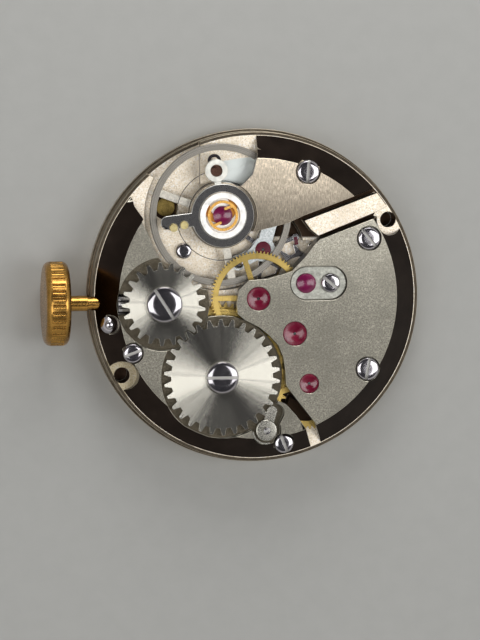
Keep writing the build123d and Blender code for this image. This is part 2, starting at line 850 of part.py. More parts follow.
def barrel_bridge():
    """The large bridge over the barrel, sunk for the ratchet and crown wheels."""
    shape = shape_of_shares(barrel_edge_shares)
    shape += Pos(*crown_place) * Circle(crown_tip + crown_room)
    shape += Pos(*barrel_place) * Circle(ratchet_tip + ratchet_room)
    bridge = bridge_blank(shape)
    bridge = wheel_rooms(bridge)
    bridge -= disc(drum_radius + barrel_room, seat - overrun, drum_high + wheel_gap, barrel_place)
    bridge -= disc(arbor_journal + running_gap, seat, top, barrel_place)
    bridge -= disc(ratchet_tip + ratchet_room, ratchet_floor, top + overrun, barrel_place)
    bridge -= disc(crown_tip + crown_room, crown_floor, top + overrun, crown_place)
    bridge -= disc(click_room, ratchet_floor, top + overrun, click_place)
    nose_room = nose_radius + click_rise + ratchet_room
    bridge -= disc(nose_room, ratchet_floor, top + overrun, click_nose)
    bridge -= disc(nose_room, ratchet_floor, top + overrun, click_lifted)
    bridge -= bar(click_place, click_lifted, 2 * nose_room, ratchet_floor, top + overrun)
    bridge -= disc(small_shank + seat_gap, seat, top, click_place)
    bridge -= disc(core_shank + seat_gap, crown_floor - core_reach, top, crown_place)
    bridge -= stem_way(False)
    bridge = screw_room(bridge, barrel_screw, medium_head, top - head_sink, shank_radius)
    bridge = screw_room(bridge, rim_screw, medium_head, top - rim_screw_sink, shank_radius)
    bridge = screw_room(bridge, lever_place, lever_head, top - rim_screw_sink, lever_shank)
    bridge -= disc(balance_radius + well_room, seat - overrun, top + overrun, balance_place)
    return common_holes(bridge)


def train_bridge():
    """The bridge over the train, with a nose that reaches the centre."""
    bridge = bridge_blank(shape_of_shares(train_edge_shares))
    bridge = wheel_rooms(bridge)
    for place, radius in ((centre, centre_jewel), (third_place, third_jewel), (great_place, great_jewel)):
        bridge -= disc(radius + seat_gap, jewel_low, top + overrun, place)
        bridge -= disc(arbor_radius + running_gap, seat, jewel_low + overrun, place)
    bridge -= disc(escape_jewel + seat_gap, escape_jewel_low, top, escape_place)
    bridge -= cap_outline_body(cap_plate_width / 2 + wheel_gap, cap_floor, top + overrun)
    bridge -= disc(cap_shank + seat_gap, cap_floor - cap_reach - seat_gap, top, cap_screw)
    for place in train_screws:
        bridge = screw_room(bridge, place, large_head, top - head_sink, shank_radius)
    return common_holes(bridge)


def cap_outline_body(half_width, low, high):
    """The round-ended plate shape that covers the escape pivot and its screw."""
    middle = ((escape_place[0] + cap_screw[0]) / 2, (escape_place[1] + cap_screw[1]) / 2)
    reach = cap_plate_length / 2 - cap_plate_width / 2
    angle = direction(escape_place, cap_screw)
    return bar(polar(-reach, angle, middle), polar(reach, angle, middle), 2 * half_width, low, high)


def balance_cock():
    """The cock that carries the balance, its head sunk for the regulator."""
    shape = shape_of_shares(cock_edge_shares)
    shape += Pos(*balance_place) * Circle(cock_head_radius)
    cock = bridge_blank(shape)
    cock -= disc(balance_radius + well_room, seat - overrun, cock_underside, balance_place)
    cock -= disc(cock_head_radius + wheel_gap, cock_head_floor, top + overrun, balance_place)
    cock -= disc(block_neck + seat_gap, seat, top, balance_place)
    cock -= disc(stud_boss_radius + running_gap, cock_underside, top + overrun, stud_place)
    cock = screw_room(cock, cock_screw, large_head, top - head_sink, shank_radius)
    cock -= disc(tip_of(fourth_teeth, fourth_module) + wheel_room, seat, fourth_high + wheel_room)
    return common_holes(cock)


def pallet_cock():
    """The low cock over the pallet fork, standing on two feet."""
    cock = disc(pallet_jewel + cock_wall, pallet_cock_low, pallet_cock_high, pallet_place)
    for place in pallet_feet:
        cock += bar(pallet_place, place, pallet_cock_width, pallet_cock_low, pallet_cock_high)
        cock += disc(pallet_foot_radius, well_floor, pallet_cock_high, place)
    cock -= disc(pallet_jewel + seat_gap, pallet_cock_low - overrun, top, pallet_place)
    for place in pallet_feet:
        cock -= disc(small_head + seat_gap, pallet_cock_high - small_height, top, place)
        cock -= disc(small_shank + seat_gap, well_floor - overrun, top, place)
    return cock


def jewel(place, radius, low, bore):
    """A ruby bearing with its polished oil sink."""
    stone = ring(radius, bore, low, low + jewel_thick, place)
    sink = Pos(place[0], place[1], low + jewel_thick + jewel_sink_lift) * Sphere(jewel_sink_radius)
    return stone - sink


def upper_jewels():
    """Bearing jewels in the train bridge and the pallet cock."""
    bore = pivot_radius + pivot_play
    stones = [jewel(centre, centre_jewel, jewel_low, bore),
              jewel(third_place, third_jewel, jewel_low, bore),
              jewel(great_place, great_jewel, jewel_low, bore),
              ring(escape_jewel, bore, escape_jewel_low, cap_floor - seat_gap, escape_place),
              ring(pallet_jewel, bore, pallet_cock_low, pallet_cock_high - seat_gap, pallet_place)]
    return group(stones)


def lower_jewels():
    """Bearing jewels in the main plate."""
    bore = pivot_radius + pivot_play
    return group([ring(radius, bore, low, low + jewel_thick, place)
                  for place, radius, low in lower_jewel_table])


def escape_cap_plate():
    """The steel plate over the escape pivot, holding a cap jewel."""
    plate = cap_outline_body(cap_plate_width / 2, cap_floor, cap_floor + cap_plate_thick)
    plate -= disc(cap_jewel_radius + seat_gap, cap_floor - overrun, top, escape_place)
    return plate - disc(cap_shank + seat_gap, cap_floor - overrun, top, cap_screw)


def cap_jewels():
    """Cap jewels of the escape pivot and of both balance pivots."""
    escape_cap = disc(cap_jewel_radius, cap_floor + seat_gap, top - cap_jewel_sink, escape_place)
    upper = disc(cap_jewel_radius, upper_stone_low, upper_stone_low + cap_jewel_thick, balance_place)
    lower = disc(cap_jewel_radius, lower_stone_low, lower_stone_low + cap_jewel_thick, balance_place)
    return group([escape_cap, upper, lower])


def shock_block(low, high, floor, outer, neck, bore, rim, up):
    """A shock setting block: a cup with a hole for the staff and a rim for the spring."""
    body = disc(neck, low, high, balance_place)
    if up:
        body += disc(outer, rim, high, balance_place)
        body -= disc(bore, floor, high + overrun, balance_place)
    else:
        body -= disc(bore, low - overrun, floor, balance_place)
    return body - disc(staff_hole, low - overrun, high + overrun, balance_place)


def shock_blocks():
    """The upper and lower shock setting blocks of the balance."""
    upper = shock_block(cock_underside + seat_gap, block_high, upper_stone_low - seat_gap, block_radius,
                        block_neck, block_bore, cock_head_floor + carrier_rise, True)
    lower = shock_block(lower_block_low, well_floor, lower_stone_low + cap_jewel_thick + seat_gap,
                        lower_block_radius, lower_block_radius, lower_block_bore, 0, False)
    return group([upper, lower])


def lyre(low, radius):
    """A flat lyre spring: a ring with two inward tongues."""
    spring = ring(radius, radius - lyre_width, low, low + lyre_height, balance_place)
    for angle in (lyre_angle, lyre_angle + 180):
        root = polar(radius - lyre_width / 2, angle, balance_place)
        tongue = polar(radius - lyre_tongue, angle + lyre_lean, balance_place)
        spring += bar(root, tongue, lyre_width, low, low + lyre_height)
    return spring


def shock_springs():
    """The lyre springs that hold the balance cap jewels."""
    upper_low = upper_stone_low + cap_jewel_thick + seat_gap
    lower_low = lower_stone_low - lyre_height - seat_gap
    return group([lyre(upper_low, lyre_radius), lyre(lower_low, lower_block_bore - seat_gap)])


def fixed_screws():
    """The screws that hold bridges and plates, by size."""
    large = [screw(place, top - head_sink, large_head, head_height, shank_radius, shank_reach, angle)
             for place, angle in zip([cock_screw] + train_screws, large_slot_angles)]
    barrel = [screw(barrel_screw, top - head_sink, medium_head, head_height, shank_radius, shank_reach,
                    medium_slot_angles[0]),
              screw(rim_screw, top - rim_screw_sink, medium_head, head_height, shank_radius,
                    rim_screw_reach, medium_slot_angles[1])]
    cap = screw(cap_screw, cap_floor + cap_plate_thick, cap_head, cap_head_height, cap_shank,
                cap_plate_thick + cap_reach, medium_slot_angles[2])
    small = [screw(place, pallet_cock_high - small_height, small_head, small_height - seat_gap,
                   small_shank, pallet_screw_reach, 0, False) for place in pallet_feet]
    small.append(screw(click_place, click_high + seat_gap, click_head, small_height * 2, small_shank,
                       click_screw_reach, click_slot_angle))
    for number, place in enumerate(dial_holes):
        small.append(foot_screw_shape(place, number, 0))
    write(group(large), "large_bridge_screws")
    write(group(barrel + [cap]), "medium_bridge_screws")
    small.append(disc(small_shank, jumper_low, dial_pin_high, jumper_screw)
                 + disc(jumper_head, jumper_low, jumper_low + jumper_thick, jumper_screw))
    pin = screw(well_pin, well_floor, well_pin_radius, well_pin_height, small_shank,
                well_floor - dial_recess - 2 * wheel_gap, 0, False)
    small.append(pin)
    write(group(small), "small_screws")


def foot_screw_shape(place, number, room):
    """A dial foot screw, lying along the radius of its dial foot hole."""
    angle = dial_foot_angle + 180 * number
    body = Cylinder(foot_screw_radius + room, foot_screw_length + 2 * room)
    middle = polar(plate_radius - foot_screw_length / 2 - foot_screw_sink, angle)
    return Pos(middle[0], middle[1], foot_screw_height) * Rot(0, 0, angle) * Rot(0, 90, 0) * body


def lever_screw():
    """The domed screw that carries the setting lever through bridge and plate."""
    base = top - rim_screw_sink
    dome_radius = (lever_head ** 2 + lever_dome ** 2) / (2 * lever_dome)
    head = disc(lever_head, base, base + lever_dome, lever_place)
    ball = Pos(lever_place[0], lever_place[1], base + lever_dome - dome_radius) * Sphere(dome_radius)
    return (head & ball) + disc(lever_shank, lever_low, base, lever_place)


def steady_pins():
    """Pins that set the bridges on the plate."""
    return group([disc(steady_radius, seat - steady_height / 2, seat + steady_height / 2, place)
                  for place in steady_places])


def center_tube():
    """The tube through the plate that guides the seconds arbor and carries the cannon pinion."""
    return ring(tube_radius, tube_bore, -tube_reach, seat)


def train_wheel(name, place, teeth, module, low, thick, hub_bore, phase, spokes, angle):
    """A brass train wheel, spoked and bored for its arbor."""
    pitch_radius = teeth * module / 2
    rim_inner = pitch_radius - dedendum_share * module - wheel_rim
    outline = spoked(gear(teeth, module, phase), rim_inner, wheel_hub, spokes, spoke_width, angle)
    outline -= Circle(hub_bore)
    write(raised(outline, low, low + thick, place), name)


def pinion(place, leaves, module, phase, low, high, arbor_low, arbor_high, stubs):
    """A pinion cut on its arbor, with a pivot at each end given in stubs."""
    body = raised(gear(leaves, module, phase), low, high, place)
    body += disc(arbor_radius, arbor_low, arbor_high, place)
    for radius, stub_low, stub_high in stubs:
        body += disc(radius, stub_low, stub_high, place)
    return body


def going_train():
    """Great, third and fourth wheels with their pinions, and the escape pinion."""
    third_phase = meshed_phase(fourth_leaves, 0, third_teeth, direction(centre, third_place))
    great_phase = meshed_phase(third_leaves, 0, great_teeth, direction(third_place, great_place))
    escape_phase = meshed_phase(fourth_teeth, 0, escape_leaves, direction(centre, escape_place))
    bore = arbor_radius + seat_gap
    train_wheel("great_wheel", great_place, great_teeth, great_module, great_low, great_wheel_thick,
                bore, great_phase, train_spokes, great_spoke_angle)
    train_wheel("third_wheel", third_place, third_teeth, third_module, third_low, wheel_thick,
                bore, third_phase, train_spokes, third_spoke_angle)
    train_wheel("fourth_wheel", centre, fourth_teeth, fourth_module, fourth_low, wheel_thick,
                bore, 0, fourth_spokes, fourth_spoke_angle)
    upper = (pivot_radius, jewel_low - wheel_gap, jewel_high - wheel_gap)
    arbor_high = jewel_low - seat_gap
    lower = (pivot_radius, lower_jewel_low + seat_gap, lower_jewel_high + wheel_gap)
    write(pinion(third_place, third_leaves, great_module, 0, third_pinion_low, third_low - seat_gap,
                 lower_jewel_high + seat_gap, arbor_high, [upper, lower]), "third_pinion")
    seconds = (hand_arbor_radius, -seconds_reach, fourth_pinion_low)
    write(pinion(centre, fourth_leaves, third_module, 0, fourth_pinion_low, fourth_low - seat_gap,
                 seat + seat_gap, arbor_high, [upper, seconds]), "fourth_pinion")
    driver_stub = (arbor_radius, driver_low, drum_low)
    write(pinion(great_place, great_leaves, barrel_module, 0, drum_low, great_pinion_high,
                 drum_low, arbor_high, [upper, driver_stub]), "great_pinion")
    escape_upper = (pivot_radius, escape_jewel_low - wheel_gap, cap_floor - seat_gap)
    escape_lower = (pivot_radius, escape_seat_low + seat_gap, well_floor + seat_gap)
    write(pinion(escape_place, escape_leaves, fourth_module, escape_phase, escape_pinion_low,
                 escape_pinion_high, well_floor + seat_gap, escape_jewel_low - seat_gap,
                 [escape_upper, escape_lower]), "escape_pinion")


def barrel():
    """Barrel drum with its tooth ring, its cover, arbor and mainspring."""
    phase = meshed_phase(great_leaves, 0, barrel_teeth, direction(great_place, barrel_place))
    tooth_low = drum_low + drum_tooth_rise
    drum = disc(drum_radius, drum_low, drum_high, barrel_place)
    drum += raised(gear(barrel_teeth, barrel_module, phase), tooth_low, tooth_low + drum_tooth_height,
                   barrel_place)
    cover_low = drum_high - drum_floor
    drum -= disc(drum_inner, drum_low + drum_floor, cover_low, barrel_place)
    drum -= disc(drum_inner + cover_step, cover_low, drum_high + overrun, barrel_place)
    drum -= disc(arbor_journal + running_gap, drum_low - overrun, drum_high, barrel_place)
    write(drum, "barrel_drum")
    write(ring(drum_inner + cover_step - seat_gap, arbor_journal + running_gap, cover_low, drum_high,
               barrel_place), "barrel_cover")
    core_low = drum_low + drum_floor + wheel_gap
    core_high = cover_low - wheel_gap
    arbor = disc(arbor_core, core_low, core_high, barrel_place)
    arbor += disc(arbor_pivot, dial_recess + seat_gap, core_low, barrel_place)
    arbor += disc(arbor_journal, drum_low - seat_gap, ratchet_low, barrel_place)
    arbor += raised(Rectangle(arbor_square, arbor_square), ratchet_low, ratchet_high - wheel_gap,
                    barrel_place)
    arbor -= disc(shank_radius + seat_gap, ratchet_low - ratchet_screw_reach, top, barrel_place)
    write(arbor, "barrel_arbor")
    outline = ribbon(mainspring_start, mainspring_pitch, mainspring_turns, [], mainspring_thick)
    write(raised(outline, core_low, core_high, barrel_place), "mainspring")


def winding_wheels():
    """Ratchet and crown wheels on the barrel bridge, with their screws and core."""
    angle = direction(barrel_place, crown_place)
    crown_phase = meshed_phase(ratchet_teeth, ratchet_phase, crown_teeth, angle)
    ratchet = gear_outline(ratchet_teeth, ratchet_tip - winding_tooth, ratchet_tip, ratchet_phase,
                           winding_tip_share)
    ratchet -= Rectangle(arbor_square + 2 * seat_gap, arbor_square + 2 * seat_gap)
    write(raised(ratchet, ratchet_low, ratchet_high, barrel_place), "ratchet_wheel")
    write(screw(barrel_place, ratchet_high, ratchet_head, head_height, shank_radius,
                ratchet_screw_reach, 0), "ratchet_screw")
    crown = gear_outline(crown_teeth, crown_tip - winding_tooth, crown_tip, crown_phase,
                         winding_tip_share)
    crown -= Circle(crown_core_radius + running_gap)
    write(raised(crown, crown_low, ratchet_high, crown_place), "crown_wheel")
    write(ring(crown_core_radius, core_shank + seat_gap, crown_floor, ratchet_high + seat_gap,
               crown_place), "crown_wheel_core")
    write(screw(crown_place, ratchet_high + seat_gap, crown_head, head_height, core_shank,
                ratchet_high - crown_floor + core_reach, crown_slot_angle), "crown_wheel_screw")


def click_work():
    """The click that holds the ratchet wheel, and its spring."""
    nose_angle = direction(barrel_place, click_nose)
    body = disc(click_radius, click_low, click_high, click_place)
    body = fillet(body.edges().group_by(Axis.Z)[-1], click_round)
    body += bar(click_place, click_nose, 2 * nose_radius, click_low, click_low + nose_height)
    body -= disc(small_shank + running_gap, seat, top, click_place)
    write(body, "click")
    half = click_spring_span / 2
    spring = ring(click_spring_radius, click_spring_radius - click_spring_thick, click_low,
                  click_low + nose_height, click_place)
    keep = shape_of([(0, 0), polar(2 * click_room, nose_angle - 90 - half),
                     polar(2 * click_room, nose_angle - 90), polar(2 * click_room, nose_angle - 90 + half)])
    write(spring & raised(keep, seat, top, click_place), "click_spring")


def keyless_work():
    """Winding pinion, stem, sliding clutch and crown on the stem's axis."""
    leaves = gear_outline(pinion_teeth, pinion_tip - pinion_depth, pinion_tip, 0)
    start = Pos(-pinion_start, stem_y, stem_height) * Rot(0, 90, 0)
    wheel = start * extrude(leaves, amount=pinion_length)
    wheel -= along_stem(stem_radius + running_gap, pinion_start + overrun, pinion_length + 2 * overrun)
    write(wheel, "winding_pinion")
    clutch = along_stem(clutch_radius, clutch_start, clutch_length)
    groove_start = -clutch_groove_middle[0] + clutch_groove / 2
    groove = along_stem(clutch_radius + overrun, groove_start, clutch_groove)
    clutch -= groove - along_stem(clutch_radius - clutch_groove_depth, groove_start, clutch_groove)
    for number in range(clutch_teeth):
        notch = Box(2 * clutch_notch, clutch_notch, clutch_radius + overrun,
                    align=(Align.CENTER, Align.CENTER, Align.MIN))
        for end in (clutch_start, clutch_start - clutch_length):
            clutch -= (Pos(-end, stem_y, stem_height) * Rot(number * 360 / clutch_teeth, 0, 0)
                       * Pos(0, 0, stem_square) * notch)
    side = stem_square + 2 * running_gap
    clutch -= Pos(-clutch_start - overrun, stem_y, stem_height) * Box(
        clutch_length + 2 * overrun, side, side, align=(Align.MIN, Align.CENTER, Align.CENTER))
    write(clutch, "sliding_clutch")
    stem = along_stem(stem_radius, crown_start + overrun, crown_start + overrun - square_start)
    square = Box(square_start - square_end, stem_square, stem_square,
                 align=(Align.MIN, Align.CENTER, Align.CENTER))
    stem += Pos(-square_start, stem_y, stem_height) * square
    groove = along_stem(stem_radius + overrun, stem_groove_start, stem_groove_length)
    stem -= groove - along_stem(stem_groove_radius, stem_groove_start, stem_groove_length)
    write(stem, "winding_stem")
    write(crown_knob(), "crown")


def crown_knob():
    """The ribbed crown with its sleeve."""
    body = along_stem(crown_radius, crown_start + crown_length, crown_length)
    body = fillet(body.edges().filter_by(GeomType.CIRCLE), crown_round)
    band = -crown_start - crown_length / 2
    for number in range(crown_ribs):
        groove = Cylinder(crown_rib_depth, crown_rib_band)
        angle = math.radians(number * 360 / crown_ribs)
        body -= (Pos(band, stem_y + crown_radius * math.cos(angle),
                     stem_height + crown_radius * math.sin(angle)) * Rot(0, 90, 0) * groove)
    body += along_stem(sleeve_radius, crown_start, crown_start - sleeve_start)
    return body - along_stem(stem_radius + seat_gap, crown_start + overrun + seat_gap,
                             crown_start + 2 * overrun - sleeve_start)


def setting_levers():
    """Setting lever, yoke and jumper on the dial side."""
    high = lever_low + lever_thick
    lever = disc(lever_boss, lever_low, high, lever_place)
    lever += bar(lever_place, stem_groove_middle, 2 * lever_pin_radius + 2 * wheel_gap, lever_low, high)
    lever += bar(lever_place, polar(lever_tail, lever_tail_angle, lever_place),
                 2 * lever_pin_radius + 2 * wheel_gap, lever_low, high)
    lever += disc(lever_pin_radius, high - seat_gap, stem_height - stem_groove_radius - seat_gap,
                  stem_groove_middle)
    lever -= disc(lever_shank + running_gap, 0, seat, lever_place)
    write(lever, "setting_lever")
    finger_place = (clutch_groove_middle[0], stem_y - clutch_radius)
    yoke = disc(yoke_boss, lever_low, high, yoke_place)
    yoke += bar(yoke_place, finger_place, yoke_width, lever_low, high)
    finger = Box(clutch_groove - 2 * wheel_gap, finger_depth, stem_height - high + seat_gap,
                 align=(Align.CENTER, Align.CENTER, Align.MIN))
    yoke += Pos(finger_place[0], finger_place[1], high - seat_gap) * finger
    yoke -= disc(dial_pin_radius + running_gap, 0, seat, yoke_place)
    write(yoke, "yoke")
    jumper = bar(jumper_screw, lever_place, jumper_width, jumper_low, jumper_low + jumper_thick)
    jumper += bar(jumper_screw, yoke_place, jumper_width, jumper_low, jumper_low + jumper_thick)
    jumper += disc(jumper_width, jumper_low, jumper_low + jumper_thick, jumper_screw)
    jumper -= disc(jumper_head + seat_gap, -overrun, seat, jumper_screw)
    write(jumper, "setting_lever_jumper")


def motion_work():
    """Driver, cannon pinion, minute wheel, hour wheel and setting wheel under the dial."""
    high = minute_low + minute_thick
    cannon_phase = 0
    minute_phase = meshed_phase(cannon_leaves, cannon_phase, minute_teeth,
                                direction(centre, minute_place))
    driver_phase = meshed_phase(minute_teeth, minute_phase, cannon_leaves,
                                direction(minute_place, great_place))
    setting_phase = meshed_phase(minute_teeth, minute_phase, setting_teeth,
                                 direction(minute_place, setting_place))
    hour_phase = meshed_phase(minute_leaves, 0, hour_teeth, direction(minute_place, centre))
    cannon = raised(gear(cannon_leaves, motion_module, cannon_phase), minute_low - seat_gap,
                    high + seat_gap)
    cannon += disc(minute_seat_radius, -cannon_reach, minute_low)
    cannon += disc(cannon_radius, -hour_reach - running_gap, minute_low)
    cannon -= disc(cannon_bore, -cannon_reach - overrun, seat)
    write(cannon, "cannon_pinion")
    minute = raised(gear(minute_teeth, motion_module, minute_phase), minute_low, high, minute_place)
    minute += raised(gear(minute_leaves, hour_module), minute_leaf_low, minute_low, minute_place)
    minute -= disc(dial_pin_radius + running_gap, -overrun, seat, minute_place)
    write(minute, "minute_wheel")
    hour = raised(gear(hour_teeth, hour_module, hour_phase), hour_low, hour_low + hour_thick)
    hour += disc(hour_radius, -hour_reach, hour_low)
    hour -= disc(hour_bore, -hour_reach - overrun, seat)
    write(hour, "hour_wheel")
    driver = raised(gear(cannon_leaves, motion_module, driver_phase), minute_low - seat_gap,
                    high + seat_gap, great_place)
    driver -= disc(arbor_radius + seat_gap / 2, 0, seat, great_place)
    write(driver, "motion_driver")
    setting = raised(gear(setting_teeth, motion_module, setting_phase), minute_low, setting_high,
                     setting_place)
    setting -= disc(dial_pin_radius + running_gap, 0, seat, setting_place)
    write(setting, "setting_wheel")


def escape_wheel():
    """The escape wheel with raked teeth."""
    pitch = 360 / escape_teeth
    points = []
    for number in range(escape_teeth):
        angle = escape_phase_angle + number * pitch
        points.append(polar(escape_radius - escape_depth, angle - escape_lean))
        points.append(polar(escape_radius, angle))
        points.append(polar(escape_radius - seat_gap, angle + escape_tip_angle))
        points.append(polar(escape_radius - escape_depth, angle + escape_tip_angle))
    rim_inner = escape_radius - escape_depth - escape_rim
    outline = shape_of(points) - Circle(rim_inner) + Circle(wheel_hub)
    for number in range(train_spokes):
        reach = Pos(rim_inner / 2, 0) * Rectangle(rim_inner + escape_rim, spoke_width)
        outline += Rot(0, 0, number * 360 / train_spokes) * reach
    outline -= Circle(arbor_radius + seat_gap)
    write(raised(outline, escape_low, escape_low + wheel_thick, escape_place), "escape_wheel")


def pallet_work():
    """The pallet fork, its stones and its arbor."""
    notch_place = polar(balance_distance - impulse_orbit, lever_angle, pallet_place)
    high = escape_low + wheel_thick
    fork = disc(fork_width, escape_low, high, pallet_place)
    for place in holder_places:
        fork += bar(pallet_place, place, fork_width, escape_low, high)
        fork += disc(stone_holder, escape_low, high, place)
    fork += bar(pallet_place, polar(-horn_length / 2, lever_angle, notch_place), fork_width, escape_low,
                high)
    fork += raised(Rectangle(horn_length, horn_width), escape_low, high, notch_place, lever_angle)
    notch = Rectangle(horn_length, notch_width, align=(Align.MIN, Align.CENTER))
    fork -= raised(notch, 0, high + overrun, polar(-impulse_radius - seat_gap, lever_angle, notch_place),
                   lever_angle)
    for place, angle in zip(stone_places, stone_angles):
        slot = raised(Rectangle(stone_length + seat_gap, stone_width + seat_gap), 0, seat, place, angle)
        fork -= slot
    fork -= disc(pallet_arbor_radius + seat_gap, 0, seat, pallet_place)
    write(fork, "pallet_fork")
    write(group([raised(Rectangle(stone_length, stone_width), escape_low - seat_gap,
                        escape_low - seat_gap + stone_height, place, angle)
                 for place, angle in zip(stone_places, stone_angles)]), "pallet_stones")
    arbor = disc(pallet_arbor_radius, well_floor + seat_gap, pallet_cock_low - seat_gap, pallet_place)
    arbor += disc(pivot_radius, escape_seat_low + seat_gap, pallet_cock_high - 2 * seat_gap, pallet_place)
    write(arbor, "pallet_arbor")


def balance():
    """Balance wheel, staff, impulse roller and collet."""
    arm_low = balance_low + balance_arm_rise
    arm_high = arm_low + balance_arm_height
    wheel = ring(balance_radius, balance_radius - balance_rim, balance_low, balance_low + balance_height,
                 balance_place)
    wheel += disc(balance_hub, arm_low, arm_high, balance_place)
    reach = balance_radius - balance_rim / 2
    for number in range(balance_arms):
        angle = balance_arm_angle + number * 360 / balance_arms
        arm = raised(Rectangle(reach, balance_arm_width), arm_low, arm_high,
                     polar(reach / 2, angle, balance_place), angle)
        wheel += arm
    wheel -= disc(staff_radius + seat_gap, 0, top, balance_place)
    write(wheel, "balance_wheel")
    staff = disc(staff_radius, well_floor + wheel_gap, cock_underside - seat_gap, balance_place)
    staff += disc(pivot_radius, lower_stone_low + cap_jewel_thick + seat_gap, upper_stone_low - seat_gap,
                  balance_place)
    staff += disc(staff_collar, arm_high + seat_gap, collet_low - seat_gap, balance_place)
    write(staff, "balance_staff")
    roller = ring(roller_radius, staff_radius + seat_gap, roller_low, roller_low + roller_height,
                  balance_place)
    stone = disc(impulse_radius, escape_low, roller_low - seat_gap / 2,
                 polar(impulse_orbit, lever_angle + 180, balance_place))
    write(group([roller, stone]), "impulse_roller")
    write(ring(collet_radius, staff_radius + seat_gap, collet_low, collet_low + collet_height,
               balance_place), "hairspring_collet")


def hairspring_work():
    """Hairspring with its stud, stud carrier, regulator and curb pins."""
    ends = [stud_orbit, stud_orbit]
    outline = ribbon(spring_start, spring_pitch, spring_turns, ends, spring_thick)
    print("hairspring gap", round(ribbon_gap(spring_start, spring_pitch, spring_turns, ends,
                                             spring_thick), gap_digits))
    spring = raised(outline, spring_low, spring_low + spring_height, balance_place, stud_angle)
    boss_high = carrier_low + stud_boss_height
    stud = disc(stud_radius, curb_low, boss_high + seat_gap, stud_place)
    spring -= disc(stud_radius + seat_gap / 2, 0, top, stud_place)
    write(spring, "hairspring")
    write(stud, "hairspring_stud")
    carrier = ring(ring_radius, block_radius + running_gap, carrier_low, carrier_low + carrier_height,
                   balance_place)
    neck = bar(polar((ring_radius + block_radius) / 2, stud_angle, balance_place), stud_place,
               neck_width, carrier_low, carrier_low + carrier_height)
    carrier += neck - disc(block_radius + running_gap, seat, top, balance_place)
    carrier += disc(stud_boss_radius, carrier_low, boss_high, stud_place)
    write(carrier - disc(stud_radius + seat_gap, seat, top, stud_place), "stud_carrier")
    regulator = ring(ring_radius, block_radius + running_gap, regulator_low, regulator_high,
                     balance_place)
    tail = polar(regulator_reach, regulator_angle, balance_place)
    arm = bar(balance_place, tail, regulator_width, regulator_low, regulator_high)
    regulator += arm - disc(block_radius + running_gap, seat, top + overrun, balance_place)
    for place in curb_places:
        regulator -= disc(curb_radius + seat_gap, seat, top, place)
    write(regulator, "regulator")
    write(group([disc(curb_radius, curb_low, regulator_high + block_rise, place)
                 for place in curb_places]), "curb_pins")


write(main_plate(), "main_plate")
write(barrel_bridge(), "barrel_bridge")
write(train_bridge(), "train_bridge")
write(balance_cock(), "balance_cock")
write(pallet_cock(), "pallet_cock")
write(center_tube(), "center_tube")
write(upper_jewels(), "upper_jewels")
write(lower_jewels(), "lower_jewels")
write(escape_cap_plate(), "escape_cap_plate")
write(cap_jewels(), "cap_jewels")
write(shock_blocks(), "shock_blocks")
write(shock_springs(), "shock_springs")
write(lever_screw(), "setting_lever_screw")
write(steady_pins(), "steady_pins")
fixed_screws()
going_train()
barrel()
winding_wheels()
click_work()
keyless_work()
setting_levers()
motion_work()
escape_wheel()
pallet_work()
balance()
hairspring_work()
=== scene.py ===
"""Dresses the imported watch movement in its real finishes, then lights and frames it."""
import math

import bmesh
import bpy
from mathutils import Matrix, Vector


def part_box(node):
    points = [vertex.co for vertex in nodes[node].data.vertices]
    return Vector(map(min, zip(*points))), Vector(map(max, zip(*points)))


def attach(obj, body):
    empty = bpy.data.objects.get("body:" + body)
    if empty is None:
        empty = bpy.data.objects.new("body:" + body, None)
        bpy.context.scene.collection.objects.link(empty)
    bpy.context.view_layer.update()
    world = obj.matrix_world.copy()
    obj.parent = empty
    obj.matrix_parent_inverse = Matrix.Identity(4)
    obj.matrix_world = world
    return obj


bl_info = {
    "name": "Watch movement finishes",
    "version": (1, 0, 0),
    "blender": (4, 5, 0),
    "location": "View3D > Sidebar > Movement",
    "description": "Finishes, small fittings and studio for a hand-wound watch movement",
    "category": "Object",
}

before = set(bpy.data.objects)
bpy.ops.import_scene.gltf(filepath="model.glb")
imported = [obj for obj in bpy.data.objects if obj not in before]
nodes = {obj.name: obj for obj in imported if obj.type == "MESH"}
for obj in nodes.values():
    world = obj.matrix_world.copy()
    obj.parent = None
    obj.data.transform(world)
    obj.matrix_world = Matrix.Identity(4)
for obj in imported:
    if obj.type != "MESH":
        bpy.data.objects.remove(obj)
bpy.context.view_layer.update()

MM = 0.001

# round heads, as heads_of tells them apart by the distance between them
head_spread = 2.0 * MM
wheel_head_spread = 5 * MM
cap_spread = 0.5 * MM
head_rim_depth = 0.12 * MM
head_margin_share = 1.1
upper_side = 2 * MM

# case screw holes
case_hole_orbit = 12 * MM
case_hole_angles = (math.radians(29.6), math.radians(209.6))

# meshes and edges
mesh_weld = 0.0005 * MM
fitting_weld = 1e-8
fitting_edge = 0.03 * MM
smooth_angle = math.radians(30)
ease_angle = math.radians(35)

# how far a surface looks up, from -1 to 1: flats, the rim bevel, eased edges above walls
flat_facing = (0.93, 0.985)
bevel_facing = 0.7071
edge_facing = (0.25, 0.45)

# short of the bevel's cone: where its polish sets in, and where the flange begins
polish_from, polish_to = 0.03 * MM, 0.015 * MM
flange_from, flange_to = 1.92 * MM, 1.9 * MM
# under a bridge's top: where the painted shade on the floors of its recesses sets in, and its soft
# border
recess_depth = 0.2 * MM
recess_border = 0.02 * MM

# soft borders on the plate: each shade sets in between the two places; the borders of the slits and
# of the rib bound painted shade low between the bridges
slit_rise = (0.2 * MM, 0.3 * MM)
slit_reach = (1.75 * MM, 1.65 * MM)
south_y, south_x = (0.2 * MM, 0.4 * MM), (-1.6 * MM, -1.4 * MM)
east_x = (5.0 * MM, 5.2 * MM)
rib_y, rib_x = (4.5 * MM, 4.7 * MM), (0.5 * MM, 0.7 * MM)
rib_border = 0.05 * MM
north_y, north_x = (8.2 * MM, 8.3 * MM), (-2.7 * MM, -2.6 * MM)
hole_border = (1.15 * MM, 1.2 * MM)
lug_border = (1.5 * MM, 1.9 * MM)
worn_border = 0.04 * MM
worn_patch = 0.5 * MM

